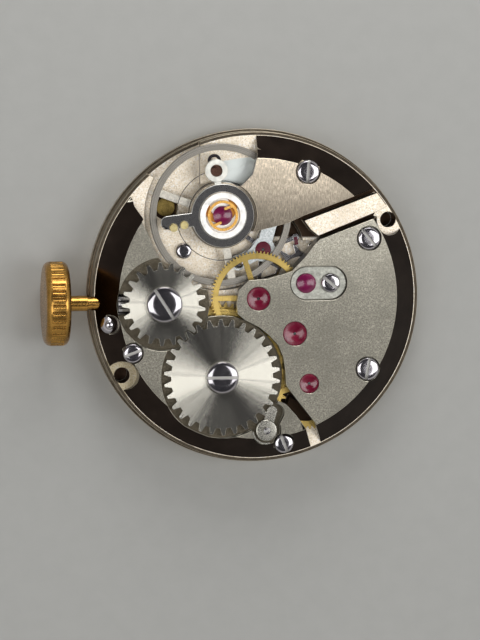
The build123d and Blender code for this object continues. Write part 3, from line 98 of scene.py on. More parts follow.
# grain and wear, as shares of the grain, the brush spacing or the smears
fleck_share, cloud_share, smear_share = 2.3, 26, 22
grain_depth_share, brush_depth_share, turned_depth_share = 0.04, 0.03, 0.02
balance_grain_share = 4
# size of the darker sectors on brushed wheels, which are painted shade by direction from the arbor
painted_fan_size = 0.16
wear_fineness = 9
wear_depth_share = 0.0003
ruby_wear_share = 0.1

# patches of smear or cloud, by the kind of piece
broad_smear = 0.9 * MM
stone_cloud = 0.8 * MM
lever_smear = 0.6 * MM
arbor_smear = 0.5 * MM
stem_smear = 0.4 * MM
small_smear = 0.3 * MM
cap_smear = 0.25 * MM
thin_smear = 0.2 * MM
head_scratch = 0.06 * MM
scratch_depth = 0.0003 * MM

# screw slots, the balance's turned rim and the plated end of the stem
slot_depth = 0.05 * MM
balance_rim_border = (4.95 * MM, 5.05 * MM)
plated_border = (-12.1 * MM, -12.0 * MM)

# colours of single places and pieces
plate_nickel = (0.92, 0.80, 0.62)
flange_nickel = (0.34, 0.29, 0.215)
pallet_nickel = (0.62, 0.66, 0.66)
# painted shade on the floors of the bridges' recesses
painted_recess_shade = (0.42, 0.38, 0.33)
# painted shade in the slits between the bridges
painted_slit_shadow = (0.035, 0.022, 0.014)
north_polish = (0.74, 0.78, 0.75)
# makes the lug round the second case hole darker
lug_darkening = (0.48, 0.46, 0.38)
arm_nickel = ((0.50, 0.47, 0.41), (0.72, 0.68, 0.59))
turned_nickel = ((0.16, 0.15, 0.13), (0.27, 0.25, 0.22), (0.55, 0.52, 0.46))
carrier_steel = (0.80, 0.79, 0.72)
# painted highlight on the regulator's eased edges
regulator_edge_highlight = (0.85, 0.84, 0.80)
block_steel = (1.0, 0.98, 0.93)
lyre_gold = (0.90, 0.50, 0.13)
curb_brass = (0.60, 0.50, 0.24)
stud_steel = (0.13, 0.07, 0.05)
cap_ruby = (0.22, 0.006, 0.075)
cap_plate_steel = (0.42, 0.42, 0.37)
slot_steel = (0.40, 0.39, 0.37)
dish_gold = (0.55, 0.24, 0.05)
latch_steel = (0.05, 0.045, 0.05)
# painted shadow: the dark of the case holes and of the ring round the well's disc
hole_shade = (0.03, 0.018, 0.012)

# small fittings: inner and outer radius, lower and upper level of each flat ring
dish_ring = (0.80 * MM, 1.30 * MM, 3.28 * MM, 3.36 * MM)
latch_ring = (0.28 * MM, 0.52 * MM, 2.98 * MM, 3.08 * MM)
latch_arc = (-20, 220, 32)
latch_shift = (-0.1 * MM, 0.75 * MM)
disc_place = (-6.9 * MM, 7.0 * MM)
disc_plate = (0, 0.72 * MM, 1.01 * MM, 1.05 * MM)
# ring of painted shade round the well's disc
disc_border = (0.72 * MM, 0.98 * MM, 1.01 * MM, 1.04 * MM)
# dark floors of painted shadow in the case holes
hole_shadow_disc = (0, 0.59 * MM, 0.02 * MM, 0.07 * MM)

# studio, in metres: each lamp's place, its width and its height over its width
picture_middle = (-1.22 * MM, -1.76 * MM, 2.0 * MM)
floor_half = 1.2
floor_weave = 1.5 * MM
lens_clip = 0.01
lamps = {"left": ((-0.10, -0.03, 0.27), 0.12, 1.5), "right": ((0.16, 0.0, 0.27), 0.13, 1.5),
         "top": ((0.01, 0.13, 0.07), 0.08, 1.0), "under": ((0.05, -0.05, -0.25), 0.25, 1.0)}
low_sky = (0.42, 0.42, 0.41)
side_sky = (0.66, 0.65, 0.63)
dim_sky = (0.075, 0.075, 0.08)
top_sky = (0.045, 0.045, 0.05)


def middle_of(node):
    """The centre of a node's box at rest."""
    low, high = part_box(node)
    return (low + high) / 2


def top_of(node):
    """The highest level of a node."""
    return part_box(node)[1].z


def heads_of(node, spread=head_spread):
    """The centre, top level and radius of each round piece in a node, told apart by place."""
    clusters = []
    for vertex in nodes[node].data.vertices:
        place = vertex.co
        for cluster in clusters:
            if (place.xy - cluster[0].xy).length < spread:
                cluster.append(place.copy())
                break
        else:
            clusters.append([place.copy()])
    heads = []
    for cluster in clusters:
        level = max(place.z for place in cluster)
        rim = [place for place in cluster if place.z > level - head_rim_depth]
        low = Vector(min(place[axis] for place in rim) for axis in range(3))
        high = Vector(max(place[axis] for place in rim) for axis in range(3))
        heads.append(((low + high) / 2, level, (high.x - low.x) / 2))
    return heads


balance_axis = middle_of("hairspring_collet")
stud_axis = middle_of("hairspring_stud")
case_holes = [(case_hole_orbit * math.cos(angle), case_hole_orbit * math.sin(angle))
              for angle in case_hole_angles]


class MovementColours(bpy.types.PropertyGroup):
    """The colours of the movement's metals, stones and studio."""

    nickel: bpy.props.FloatVectorProperty(
        name="Bridge nickel", description="Grained nickel of the plate and bridges",
        default=(0.25, 0.236, 0.196), subtype="COLOR", min=0, max=1)
    warm_nickel: bpy.props.FloatVectorProperty(
        name="Cock nickel", description="Creamier nickel of the balance cock",
        default=(0.51, 0.44, 0.345), subtype="COLOR", min=0, max=1)
    # the bevel's dark colour is painted reflection: the dark room mirrored in polished nickel
    bevel: bpy.props.FloatVectorProperty(
        name="Polished bevel", description="Dark mirror bevel round the rim",
        default=(0.028, 0.020, 0.016), subtype="COLOR", min=0, max=1)
    rim: bpy.props.FloatVectorProperty(
        name="Casing rim", description="Brassy nickel of the thin casing flange",
        default=(0.080, 0.065, 0.047), subtype="COLOR", min=0, max=1)
    steel: bpy.props.FloatVectorProperty(
        name="Brushed steel", description="Circular brushed steel of the winding wheels",
        default=(0.51, 0.49, 0.43), subtype="COLOR", min=0, max=1)
    dark_steel: bpy.props.FloatVectorProperty(
        name="Dark steel", description="Dark polished steel of the regulator and pinions",
        default=(0.42, 0.41, 0.41), subtype="COLOR", min=0, max=1)
    screw_steel: bpy.props.FloatVectorProperty(
        name="Screw steel", description="Bright polished steel of the screw heads",
        default=(0.40, 0.38, 0.40), subtype="COLOR", min=0, max=1)
    brass: bpy.props.FloatVectorProperty(
        name="Train brass", description="Gilt brass of the train wheels",
        default=(0.80, 0.575, 0.18), subtype="COLOR", min=0, max=1)
    gold: bpy.props.FloatVectorProperty(
        name="Crown gold", description="Gold plate of the crown",
        default=(0.46, 0.25, 0.06), subtype="COLOR", min=0, max=1)
    ruby: bpy.props.FloatVectorProperty(
        name="Ruby", description="Synthetic ruby of the jewels",
        default=(0.22, 0.004, 0.032), subtype="COLOR", min=0, max=1)
    floor: bpy.props.FloatVectorProperty(
        name="Floor", description="Plain pale grey floor",
        default=(0.385, 0.385, 0.37), subtype="COLOR", min=0, max=1)


class MovementSizes(bpy.types.PropertyGroup):
    """The sizes of eased edges, the rim bevel, grain and brushing."""

    eased_edge: bpy.props.FloatProperty(
        name="Eased edge", description="Width of the bright edge on plate and bridges",
        default=0.035 * MM, unit="LENGTH", min=0)
    fine_edge: bpy.props.FloatProperty(
        name="Fine edge", description="Width of the eased edge on wheels and small steel pieces",
        default=0.018 * MM, unit="LENGTH", min=0)
    bevel_foot: bpy.props.FloatProperty(
        name="Bevel foot", description="Radius of the foot of the polished rim bevel",
        default=12.54 * MM, unit="LENGTH", min=0)
    bridge_seat: bpy.props.FloatProperty(
        name="Bridge seat", description="Level of the foot of the polished rim bevel",
        default=1.9 * MM, unit="LENGTH", min=0)
    grain: bpy.props.FloatProperty(
        name="Grain", description="Size of the matte grain on the bridges",
        default=0.12 * MM, unit="LENGTH", min=0)
    brushing: bpy.props.FloatProperty(
        name="Brushing", description="Spacing of the circular brush lines",
        default=0.03 * MM, unit="LENGTH", min=0)


class MovementStudio(bpy.types.PropertyGroup):
    """The camera and lamps."""

    distance: bpy.props.FloatProperty(
        name="Camera distance", description="From the lens to the middle of the picture",
        default=0.26, unit="LENGTH", min=0.05)
    view_height: bpy.props.FloatProperty(
        name="View height", description="Height of the picture at the movement",
        default=49.6 * MM, unit="LENGTH", min=0.01)
    lean_left: bpy.props.FloatProperty(
        name="Lean left", description="How far the camera leans to the crown side",
        default=math.radians(8.6), subtype="ANGLE")
    lean_up: bpy.props.FloatProperty(
        name="Lean up", description="How far the camera leans to the balance side",
        default=math.radians(5.1), subtype="ANGLE")
    left_power: bpy.props.FloatProperty(
        name="Left lamp", description="Power of the lamp at the crown side",
        default=0.215, unit="POWER", min=0)
    right_power: bpy.props.FloatProperty(
        name="Right lamp", description="Power of the lamp opposite the crown",
        default=0.29, unit="POWER", min=0)
    top_power: bpy.props.FloatProperty(
        name="Top lamp", description="Power of the low lamp beyond the balance",
        default=0.10, unit="POWER", min=0)
    under_power: bpy.props.FloatProperty(
        name="Under lamp",
        description="Power of the lamp under the floor, which lights the dial side",
        default=0.30, unit="POWER", min=0)


def blank_finish(name):
    """A new material with its node tree, shader and coordinates fixed to the piece."""
    material = bpy.data.materials.new(name)
    material.use_nodes = True
    tree = material.node_tree
    return material, tree, tree.nodes["Principled BSDF"], tree.nodes.new("ShaderNodeTexCoord")


def patches(tree, place, size, detail=3.0, roughness=0.55):
    """Noise in patches about one size across."""
    noise = tree.nodes.new("ShaderNodeTexNoise")
    noise.inputs["Scale"].default_value = 1 / size
    noise.inputs["Detail"].default_value = detail
    noise.inputs["Roughness"].default_value = roughness
    tree.links.new(place, noise.inputs["Vector"])
    return noise.outputs[0]


def vectors(tree, operation, first, second=None):
    """One step of arithmetic on vectors, each from a socket or fixed."""
    node = tree.nodes.new("ShaderNodeVectorMath")
    node.operation = operation
    for socket, value in zip(node.inputs, (first, second)):
        if isinstance(value, (tuple, Vector)):
            socket.default_value = value
        elif value is not None:
            tree.links.new(value, socket)
    return node


def axes_of(tree, vector):
    """The three parts of a vector."""
    split = tree.nodes.new("ShaderNodeSeparateXYZ")
    tree.links.new(vector, split.inputs["Vector"])
    return split.outputs["X"], split.outputs["Y"], split.outputs["Z"]


def across(tree, coordinates, centre):
    """The level step from a centre to each point."""
    shift = vectors(tree, "SUBTRACT", coordinates.outputs["Object"], centre)
    return vectors(tree, "MULTIPLY", shift.outputs[0], (1, 1, 0)).outputs[0]


def radius_from(tree, coordinates, centre):
    """The level distance from a centre."""
    return vectors(tree, "LENGTH", across(tree, coordinates, centre)).outputs["Value"]


def distance_to(tree, place, point):
    """The distance from a fixed point."""
    return vectors(tree, "DISTANCE", place, point).outputs["Value"]


def into_world(tree, vector):
    """A direction on the piece, turned into the world."""
    turn = tree.nodes.new("ShaderNodeVectorTransform")
    turn.vector_type = "VECTOR"
    turn.convert_from = "OBJECT"
    turn.convert_to = "WORLD"
    tree.links.new(vector, turn.inputs[0])
    return turn.outputs[0]


def outward(tree, coordinates, centre):
    """The direction across the brush lines, in the world."""
    turned = into_world(tree, across(tree, coordinates, centre))
    return vectors(tree, "NORMALIZE", turned).outputs[0]


def rings(tree, coordinates, centre, size):
    """Noise in rings about a centre, as brushing leaves it."""
    noise = tree.nodes.new("ShaderNodeTexNoise")
    noise.noise_dimensions = "1D"
    noise.inputs["Scale"].default_value = 1 / size
    noise.inputs["Detail"].default_value = 2.0
    tree.links.new(radius_from(tree, coordinates, centre), noise.inputs["W"])
    return noise.outputs[0]


def ramp(tree, factor, stops):
    """Colours spread over a factor at the given stops."""
    node = tree.nodes.new("ShaderNodeValToRGB")
    node.color_ramp.elements[0].position = stops[0][0]
    node.color_ramp.elements[0].color = (*stops[0][1], 1)
    node.color_ramp.elements[1].position = stops[-1][0]
    node.color_ramp.elements[1].color = (*stops[-1][1], 1)
    for position, colour in stops[1:-1]:
        node.color_ramp.elements.new(position).color = (*colour, 1)
    tree.links.new(factor, node.inputs["Fac"])
    return node.outputs["Color"]


def between(tree, factor, low, high, start=0.0, end=1.0):
    """A number that runs smoothly from start to end as a factor passes from low to high."""
    node = tree.nodes.new("ShaderNodeMapRange")
    node.interpolation_type = "SMOOTHSTEP"
    node.inputs["From Min"].default_value = low
    node.inputs["From Max"].default_value = high
    node.inputs["To Min"].default_value = start
    node.inputs["To Max"].default_value = end
    tree.links.new(factor, node.inputs["Value"])
    return node.outputs["Result"]


def sums(tree, operation, first, second):
    """One arithmetic step on two factors or numbers."""
    node = tree.nodes.new("ShaderNodeMath")
    node.operation = operation
    for socket, value in zip(node.inputs, (first, second)):
        if isinstance(value, (int, float)):
            socket.default_value = value
        else:
            tree.links.new(value, socket)
    return node.outputs[0]


def blend_colours(tree, factor, first, second, mode="MIX"):
    """Two colours mixed by a factor."""
    node = tree.nodes.new("ShaderNodeMix")
    node.data_type = "RGBA"
    node.blend_type = mode
    if isinstance(factor, (int, float)):
        node.inputs[0].default_value = factor
    else:
        tree.links.new(factor, node.inputs[0])
    for socket, colour in ((node.inputs[6], first), (node.inputs[7], second)):
        if isinstance(colour, tuple):
            socket.default_value = (*colour, 1)
        else:
            tree.links.new(colour, socket)
    return node.outputs[2]


def grain_bump(tree, shader, height, depth):
    """Relief from a height factor, depth metres deep."""
    bump = tree.nodes.new("ShaderNodeBump")
    bump.inputs["Strength"].default_value = 1.0
    bump.inputs["Distance"].default_value = depth
    tree.links.new(height, bump.inputs["Height"])
    tree.links.new(bump.outputs["Normal"], shader.inputs["Normal"])


def make_metal(tree, shader, colour, roughness):
    """Give a shader the colour and the roughness of bare metal."""
    tree.links.new(colour, shader.inputs["Base Color"])
    tree.links.new(roughness, shader.inputs["Roughness"])
    shader.inputs["Metallic"].default_value = 1.0


def tint(colour, share):
    """A colour made lighter or darker."""
    return tuple(min(1.0, channel * share) for channel in colour)


def facing_up(tree, coordinates):
    """How far a face looks up, from -1 to 1."""
    return axes_of(tree, coordinates.outputs["Normal"])[2]


def grained_plate(name, colour, bevel, grain, cone, brush=(1, 1, 1), painted_light_ramp=(0, 1, 1, 1),
                  extra=None, plain=False, painted_edge_share=2.2, outer=None):
    """Grained nickel on flats, mirror polish on the rim bevel, bright eased edges and dark walls.

    The bevel is a cone: its radius and level add up to the length given. Its dark colour is painted
    reflection of a dark room, the bright eased edges are partly painted highlight, and the dark
    walls are painted shade. The ramp of painted light is a place in millimetres with its
    brightness, then a second one, from the south to the north, so that the piece is painted lighter
    on one side, as light falls on it."""
    material, tree, shader, coordinates = blank_finish(name)
    place = coordinates.outputs["Object"]
    y, z = axes_of(tree, place)[1:]
    radius = radius_from(tree, coordinates, (0, 0, 0))
    up = facing_up(tree, coordinates)
    flat = between(tree, sums(tree, "ABSOLUTE", up, 0), *flat_facing)
    on_cone = between(tree, sums(tree, "ADD", radius, z), cone - polish_from, cone - polish_to)
    tilt = sums(tree, "ABSOLUTE", sums(tree, "SUBTRACT", up, bevel_facing), 0)
    slope = sums(tree, "MULTIPLY", on_cone, between(tree, tilt, 0.1, 0.15, 1, 0))
    if plain:
        slope = sums(tree, "MULTIPLY", slope, 0)
    speckle = patches(tree, vectors(tree, "MULTIPLY", place, brush).outputs[0], grain, 4.0, 0.75)
    fleck = patches(tree, place, fleck_share * grain, 3.0, 0.6)
    cloud = patches(tree, place, cloud_share * grain, 2.0)
    metal = ramp(tree, speckle,
                 [(0.34, tint(colour, 0.55)), (0.50, colour), (0.66, tint(colour, 1.65))])
    metal = blend_colours(tree, between(tree, fleck, 0.56, 0.68, 0, 0.6), metal, tint(colour, 1.8))
    metal = blend_colours(tree, between(tree, cloud, 0.38, 0.64, 0, 0.45), metal,
                          tint(colour, 0.72))
    # painted light: the piece's brightness ramps from south to north, as light falls on it
    south, dim, north, full = painted_light_ramp
    painted_light_fade = ramp(tree, between(tree, y, south * MM, north * MM),
                [(0.0, (dim,) * 3), (1.0, (full,) * 3)])
    metal = blend_colours(tree, 1.0, metal, painted_light_fade, "MULTIPLY")
    if extra:
        metal = blend_colours(tree, between(tree, up, 0, 0.2), metal,
                              extra(tree, place, radius, metal))
    outer = outer or tint(colour, 0.8)
    far = between(tree, radius, cone - flange_from, cone - flange_to)
    # painted shade darkens the walls, and a painted highlight brightens the eased edges above them;
    # out at the flange the walls keep the flange's own colour
    painted_wall_shade = blend_colours(tree, far, tint(bevel, 1.4), outer)
    bright = blend_colours(tree, far, tint(colour, painted_edge_share), tint(outer, 1.3))
    edge = blend_colours(tree, between(tree, up, *edge_facing), painted_wall_shade, bright)
    metal = blend_colours(tree, flat, edge, metal)
    # the rim bevel's dark colour, with smears, is painted reflection of a dark room in its mirror
    # polish
    smear = patches(tree, place, smear_share * grain, 3.0)
    polish = ramp(tree, smear, [(0.35, bevel), (0.62, tint(bevel, 1.5)), (0.80, tint(bevel, 2.3))])
    metal = blend_colours(tree, slope, metal, polish)
    matte = between(tree, speckle, 0.3, 0.7, 0.36, 0.50)
    soft = blend_numbers(tree, flat, 0.28, matte)
    make_metal(tree, shader, metal, blend_numbers(tree, slope, soft, 0.2))
    grain_bump(tree, shader, sums(tree, "MULTIPLY", speckle, flat), grain_depth_share * grain)
    return material


def shaded_recesses(level, share):
    """An extra that darkens a bridge below a level: painted shade on the floors of its recesses."""
    def shade(tree, place, radius, metal):
        high = between(tree, axes_of(tree, place)[2], level - recess_border, level)
        dark = blend_colours(tree, 1.0, metal, share, "MULTIPLY")
        return blend_colours(tree, high, dark, metal)
    return shade


def plate_shades(seat, foot, rim):
    """An extra for the main plate: dark slits between the bridges and beside the rib, which are
    painted shade, bluish polish at the north, a darker lug round the second case hole and a worn
    rim."""
    def shade(tree, place, radius, metal):
        x, y, z = axes_of(tree, place)
        # painted shade, low in the slits between the bridges and beside the rib
        low = between(tree, z, seat + slit_rise[0], seat + slit_rise[1], 1, 0)
        inside = between(tree, radius, foot - slit_reach[0], foot - slit_reach[1], 1, 0)
        south = sums(tree, "MULTIPLY", between(tree, y, *south_y, 1, 0), between(tree, x, *south_x))
        slit_shadow_mask = sums(tree, "MAXIMUM", south, between(tree, x, *east_x))
        slit_shadow_mask = sums(tree, "MULTIPLY", inside, slit_shadow_mask)
        hole = distance_to(tree, place, (*case_holes[0], seat))
        rib = sums(tree, "MULTIPLY", between(tree, y, *rib_y), between(tree, x, *rib_x))
        rib = sums(tree, "MULTIPLY", rib, between(tree, radius, foot - rib_border, foot, 1, 0))
        rib = sums(tree, "MULTIPLY", rib, between(tree, hole, *hole_border))
        slit_shadow_mask = sums(tree, "MULTIPLY", low, sums(tree, "MAXIMUM", slit_shadow_mask, rib))
        metal = blend_colours(tree, slit_shadow_mask, metal, painted_slit_shadow)
        north = sums(tree, "MULTIPLY", between(tree, y, *north_y), between(tree, x, *north_x))
        metal = blend_colours(tree, sums(tree, "MULTIPLY", north, inside), metal, north_polish)
        wear = patches(tree, place, worn_patch, 3.0)
        worn = ramp(tree, wear, [(0.35, tint(rim, 0.75)), (0.55, rim), (0.7, tint(rim, 1.35))])
        # the lug round the second case hole is made darker
        lug = distance_to(tree, place, (*case_holes[1], seat))
        darker_lug = blend_colours(tree, 1.0, metal, lug_darkening, "MULTIPLY")
        metal = blend_colours(tree, between(tree, lug, *lug_border, 1, 0), metal, darker_lug)
        return blend_colours(tree, between(tree, radius, foot, foot + worn_border), metal, worn)
    return shade


def blend_numbers(tree, factor, first, second):
    """Two numbers mixed by a factor."""
    node = tree.nodes.new("ShaderNodeMix")
    node.data_type = "FLOAT"
    tree.links.new(factor, node.inputs[0])
    for socket, value in ((node.inputs[2], first), (node.inputs[3], second)):
        if isinstance(value, (int, float)):
            socket.default_value = value
        else:
            tree.links.new(value, socket)
    return node.outputs[0]


def brushed_wheel(name, colour, centre, spacing, roughness=0.2, stretch=1.0):
    """Metal brushed in circles round its arbor, so that its light stands in two fans. Darker
    sectors, by direction from the arbor, are painted shade that stands in for the dark parts of
    those fans.
    """
    material, tree, shader, coordinates = blank_finish(name)
    lines = rings(tree, coordinates, centre, spacing)
    way = outward(tree, coordinates, centre)
    # painted shade: darker sectors by direction, standing in for the dark parts of the fans
    painted_fan_shade = patches(tree, way, painted_fan_size, 2.0, 0.6)
    metal = ramp(tree, lines,
                 [(0.30, tint(colour, 0.86)), (0.55, colour), (0.75, tint(colour, 1.1))])
    metal = blend_colours(tree, between(tree, painted_fan_shade, 0.50, 0.62, 0, 0.45), metal, tint(colour, 0.62))
    make_metal(tree, shader, metal,
               between(tree, lines, 0.3, 0.7, roughness * 0.85, roughness * 1.2))
    shader.inputs["Anisotropic"].default_value = stretch
    tree.links.new(way, shader.inputs["Tangent"])
    grain_bump(tree, shader, lines, brush_depth_share * spacing)
    return material


def lean_of(tree, coordinates, heads, dome, curl=0):
    """How far each round head's surface leans outward, and the level of its top.

    A curl keeps the middle flat and steepens the rim."""
    lean = None
    level = None
    for centre, high, radius in heads:
        step = across(tree, coordinates, centre)
        length = vectors(tree, "LENGTH", step).outputs["Value"]
        near = sums(tree, "LESS_THAN", length, radius * head_margin_share)
        steep = sums(tree, "POWER", sums(tree, "DIVIDE", length, radius), curl)
        steep = sums(tree, "MULTIPLY", steep, dome / radius)
        share = vectors(tree, "SCALE", step)
        tree.links.new(sums(tree, "MULTIPLY", near, steep), share.inputs["Scale"])
        part = sums(tree, "MULTIPLY", near, high)
        if lean is None:
            lean, level = share.outputs[0], part
        else:
            lean = vectors(tree, "ADD", lean, share.outputs[0]).outputs[0]
            level = sums(tree, "ADD", level, part)
    return lean, level


def domed(tree, shader, lean, fine):
    """Bend a shader's surface by a lean, with hairline scratches."""
    scratch = tree.nodes.new("ShaderNodeBump")
    scratch.inputs["Strength"].default_value = 0.3
    scratch.inputs["Distance"].default_value = scratch_depth
    tree.links.new(fine, scratch.inputs["Height"])
    bent = vectors(tree, "ADD", scratch.outputs["Normal"], into_world(tree, lean)).outputs[0]
    tree.links.new(vectors(tree, "NORMALIZE", bent).outputs[0], shader.inputs["Normal"])


def domed_heads(name, colour, slot, heads, dome, roughness=0.1):
    """Polished screw heads, slightly domed, with the floor of the slot in its own colour."""
    material, tree, shader, coordinates = blank_finish(name)
    place = coordinates.outputs["Object"]
    lean, level = lean_of(tree, coordinates, heads, dome, 4)
    smear = patches(tree, place, arbor_smear, 3.0)
    metal = ramp(tree, smear,
                 [(0.3, tint(colour, 0.8)), (0.55, colour), (0.75, tint(colour, 1.25))])
    sunk = sums(tree, "LESS_THAN", axes_of(tree, place)[2],
                sums(tree, "SUBTRACT", level, slot_depth))
    fine = patches(tree, place, head_scratch, 2.0)
    polish = between(tree, fine, 0.3, 0.75, roughness * 0.8, roughness * 1.5)
    make_metal(tree, shader, blend_colours(tree, sunk, metal, slot),
               blend_numbers(tree, sunk, polish, 0.45))
    domed(tree, shader, lean, fine)
    return material


def polished_metal(name, colour, size, roughness=0.12, haze=0.25, edge=None):
    """Polished metal with faint smears and hairline wear, and, where an edge colour is given, a
    painted highlight on eased edges.
    """
    material, tree, shader, coordinates = blank_finish(name)
    place = coordinates.outputs["Object"]
    smear = patches(tree, place, size, 4.0)
    fine = patches(tree, place, size / wear_fineness, 3.0, 0.7)
    metal = ramp(tree, smear,
                 [(0.30, tint(colour, 1 - haze)), (0.55, colour), (0.78, tint(colour, 1 + haze))])
    # painted highlight on eased edges and slopes
    if edge:
        up = facing_up(tree, coordinates)
        slope = sums(tree, "MULTIPLY", between(tree, up, 0.25, 0.4),
                     between(tree, up, 0.97, 0.9, 0, 1))
        metal = blend_colours(tree, slope, metal, edge)
    make_metal(tree, shader, metal,
               between(tree, fine, 0.3, 0.75, roughness * 0.85, roughness * 1.25))
    grain_bump(tree, shader, fine, wear_depth_share * size)
    return material


def balance_nickel(centre, spacing):
    """Pale arms and a darker turned rim for the balance."""
    material, tree, shader, coordinates = blank_finish("balance_nickel")
    lines = rings(tree, coordinates, centre, spacing)
    radius = radius_from(tree, coordinates, centre)
    grain = patches(tree, coordinates.outputs["Object"], balance_grain_share * spacing, 3.0)
    arms = ramp(tree, grain, list(zip((0.3, 0.7), arm_nickel)))
    turned = ramp(tree, lines, list(zip((0.3, 0.55, 0.75), turned_nickel)))
    outer = between(tree, radius, *balance_rim_border)
    make_metal(tree, shader, blend_colours(tree, outer, arms, turned),
               between(tree, grain, 0.3, 0.7, 0.3, 0.4))
    grain_bump(tree, shader, lines, turned_depth_share * spacing)
    return material


def stem_finish(gold, steel):
    """Polished steel with the outer end of the stem plated like the crown."""
    material, tree, shader, coordinates = blank_finish("stem_steel")
    place = coordinates.outputs["Object"]
    smear = patches(tree, place, stem_smear, 3.0)
    outer = between(tree, axes_of(tree, place)[0], *plated_border, 1, 0)
    metal = ramp(tree, smear, [(0.35, tint(steel, 0.8)), (0.65, tint(steel, 1.2))])
    plated = ramp(tree, smear, [(0.35, tint(gold, 0.8)), (0.65, tint(gold, 1.3))])
    make_metal(tree, shader, blend_colours(tree, outer, metal, plated),
               between(tree, smear, 0.3, 0.7, 0.16, 0.28))
    return material


def ruby_stone(name, colour, size, heads=(), dome=0.0):
    """Polished ruby, deeper at its core and paler on the slopes of its oil sink, where it is thin:
    that pale ring is partly thin stone and partly a painted highlight. Domed where heads are given.
    """
    material, tree, shader, coordinates = blank_finish(name)
    depth = patches(tree, coordinates.outputs["Object"], size, 2.0)
    glow = ramp(tree, depth,
                [(0.3, tint(colour, 0.75)), (0.55, colour), (0.75, tint(colour, 1.35))])
    # the slopes of the oil sink are painted paler: partly thin stone, partly a painted highlight
    # ring
    painted_cup_highlight = between(tree, facing_up(tree, coordinates), 0.98, 0.80, 0, 0.8)
    glow = blend_colours(tree, painted_cup_highlight, glow, tint(colour, 2.4))
    tree.links.new(glow, shader.inputs["Base Color"])
    tree.links.new(between(tree, depth, 0.3, 0.7, 0.14, 0.22), shader.inputs["Roughness"])
    shader.inputs["IOR"].default_value = 1.77
    shader.inputs["Specular IOR Level"].default_value = 0.25
    shader.inputs["Transmission Weight"].default_value = 0.35
    shader.inputs["Coat Weight"].default_value = 0.12
    shader.inputs["Coat Roughness"].default_value = 0.08
    if heads:
        lean = lean_of(tree, coordinates, heads, dome)[0]
        domed(tree, shader, lean,
              patches(tree, coordinates.outputs["Object"], ruby_wear_share * size, 2.0))
        tree.links.new(shader.inputs["Normal"].links[0].from_socket, shader.inputs["Coat Normal"])
    return material


def dress(names, material):
    """Give CAD nodes one finish."""
    for name in names:
        data = nodes[name].data
        data.materials.clear()
        data.materials.append(material)


def clean_mesh():
    """A node group that welds a mesh, smooths its curves and keeps its corners sharp."""
    if "clean_mesh" in bpy.data.node_groups:
        return bpy.data.node_groups["clean_mesh"]
    tree = bpy.data.node_groups.new("clean_mesh", "GeometryNodeTree")
    for direction in ("INPUT", "OUTPUT"):
        tree.interface.new_socket("Geometry", in_out=direction, socket_type="NodeSocketGeometry")
    forget = tree.nodes.new("GeometryNodeRemoveAttribute")
    forget.inputs["Name"].default_value = "custom_normal"
    weld = tree.nodes.new("GeometryNodeMergeByDistance")
    weld.inputs["Distance"].default_value = mesh_weld
    smooth = tree.nodes.new("GeometryNodeSetShadeSmooth")
    sharp = tree.nodes.new("GeometryNodeSetShadeSmooth")
    sharp.domain = "EDGE"
    sharp.inputs["Shade Smooth"].default_value = False
    angle = tree.nodes.new("GeometryNodeInputMeshEdgeAngle")
    corner = tree.nodes.new("FunctionNodeCompare")
    corner.operation = "GREATER_THAN"
    corner.inputs["B"].default_value = smooth_angle
    tree.links.new(angle.outputs["Unsigned Angle"], corner.inputs["A"])
    tree.links.new(corner.outputs["Result"], sharp.inputs["Selection"])
    way = [tree.nodes.new("NodeGroupInput"), forget, weld, smooth, sharp,
           tree.nodes.new("NodeGroupOutput")]
    for first, second in zip(way, way[1:]):
        tree.links.new(first.outputs[0], second.inputs[0])
    return tree


def ease(names, width):
    """Clean the mesh of CAD nodes and ease their sharp edges, so that these catch the light."""
    for name in names:
        piece = nodes[name]
        piece.modifiers.new("clean mesh", "NODES").node_group = clean_mesh()
        edge = piece.modifiers.new("eased edge", "BEVEL")
        edge.width = width
        edge.segments = 2
        edge.limit_method = "ANGLE"
        edge.angle_limit = ease_angle
        edge.use_clamp_overlap = False
        edge.harden_normals = True


class MOVEMENT_OT_plates(bpy.types.Operator):
    """Finish the main plate, the bridges and the cocks"""

    bl_idname = "movement.plates"
    bl_label = "Plates and bridges"

    def execute(self, context):
        colours = context.scene.movement_colours
        sizes = context.scene.movement_sizes
        nickel = tuple(colours.nickel)
        warm = tuple(colours.warm_nickel)
        bevel = tuple(colours.bevel)
        cone = sizes.bevel_foot + sizes.bridge_seat
        # painted shade on the floors of the barrel bridge's recesses
        floor = shaded_recesses(top_of("barrel_bridge") - recess_depth, painted_recess_shade)
        shades = plate_shades(sizes.bridge_seat, sizes.bevel_foot, tuple(colours.rim))
        # each piece below is painted lighter towards the north, as light falls on it
        dress(["barrel_bridge"],
              grained_plate("grained_nickel_barrel", tint(nickel, 0.92), bevel, sizes.grain, cone,
                            painted_light_ramp=(-8, 0.9, 6, 1.1), extra=floor))
        dress(["train_bridge"],
              grained_plate("grained_nickel_train", nickel, bevel, sizes.grain, cone,
                            painted_light_ramp=(-2, 0.90, 9, 1.95)))
        dress(["balance_cock"],
              grained_plate("grained_nickel_cock", tint(warm, 0.72), bevel, 0.7 * sizes.grain, cone,
                            brush=(1, 0.2, 1), painted_light_ramp=(5, 0.5, 11.5, 1.85)))
        dress(["main_plate"],
              grained_plate("grained_nickel_plate", plate_nickel, bevel, sizes.grain, cone,
                            extra=shades, plain=True, painted_edge_share=0.7, outer=flange_nickel))
        dress(["pallet_cock"],
              grained_plate("grained_nickel_pallet", pallet_nickel, bevel, sizes.grain, cone))
        ease(["barrel_bridge", "train_bridge", "balance_cock", "main_plate"], sizes.eased_edge)
        ease(["pallet_cock"], sizes.fine_edge)
        return {"FINISHED"}


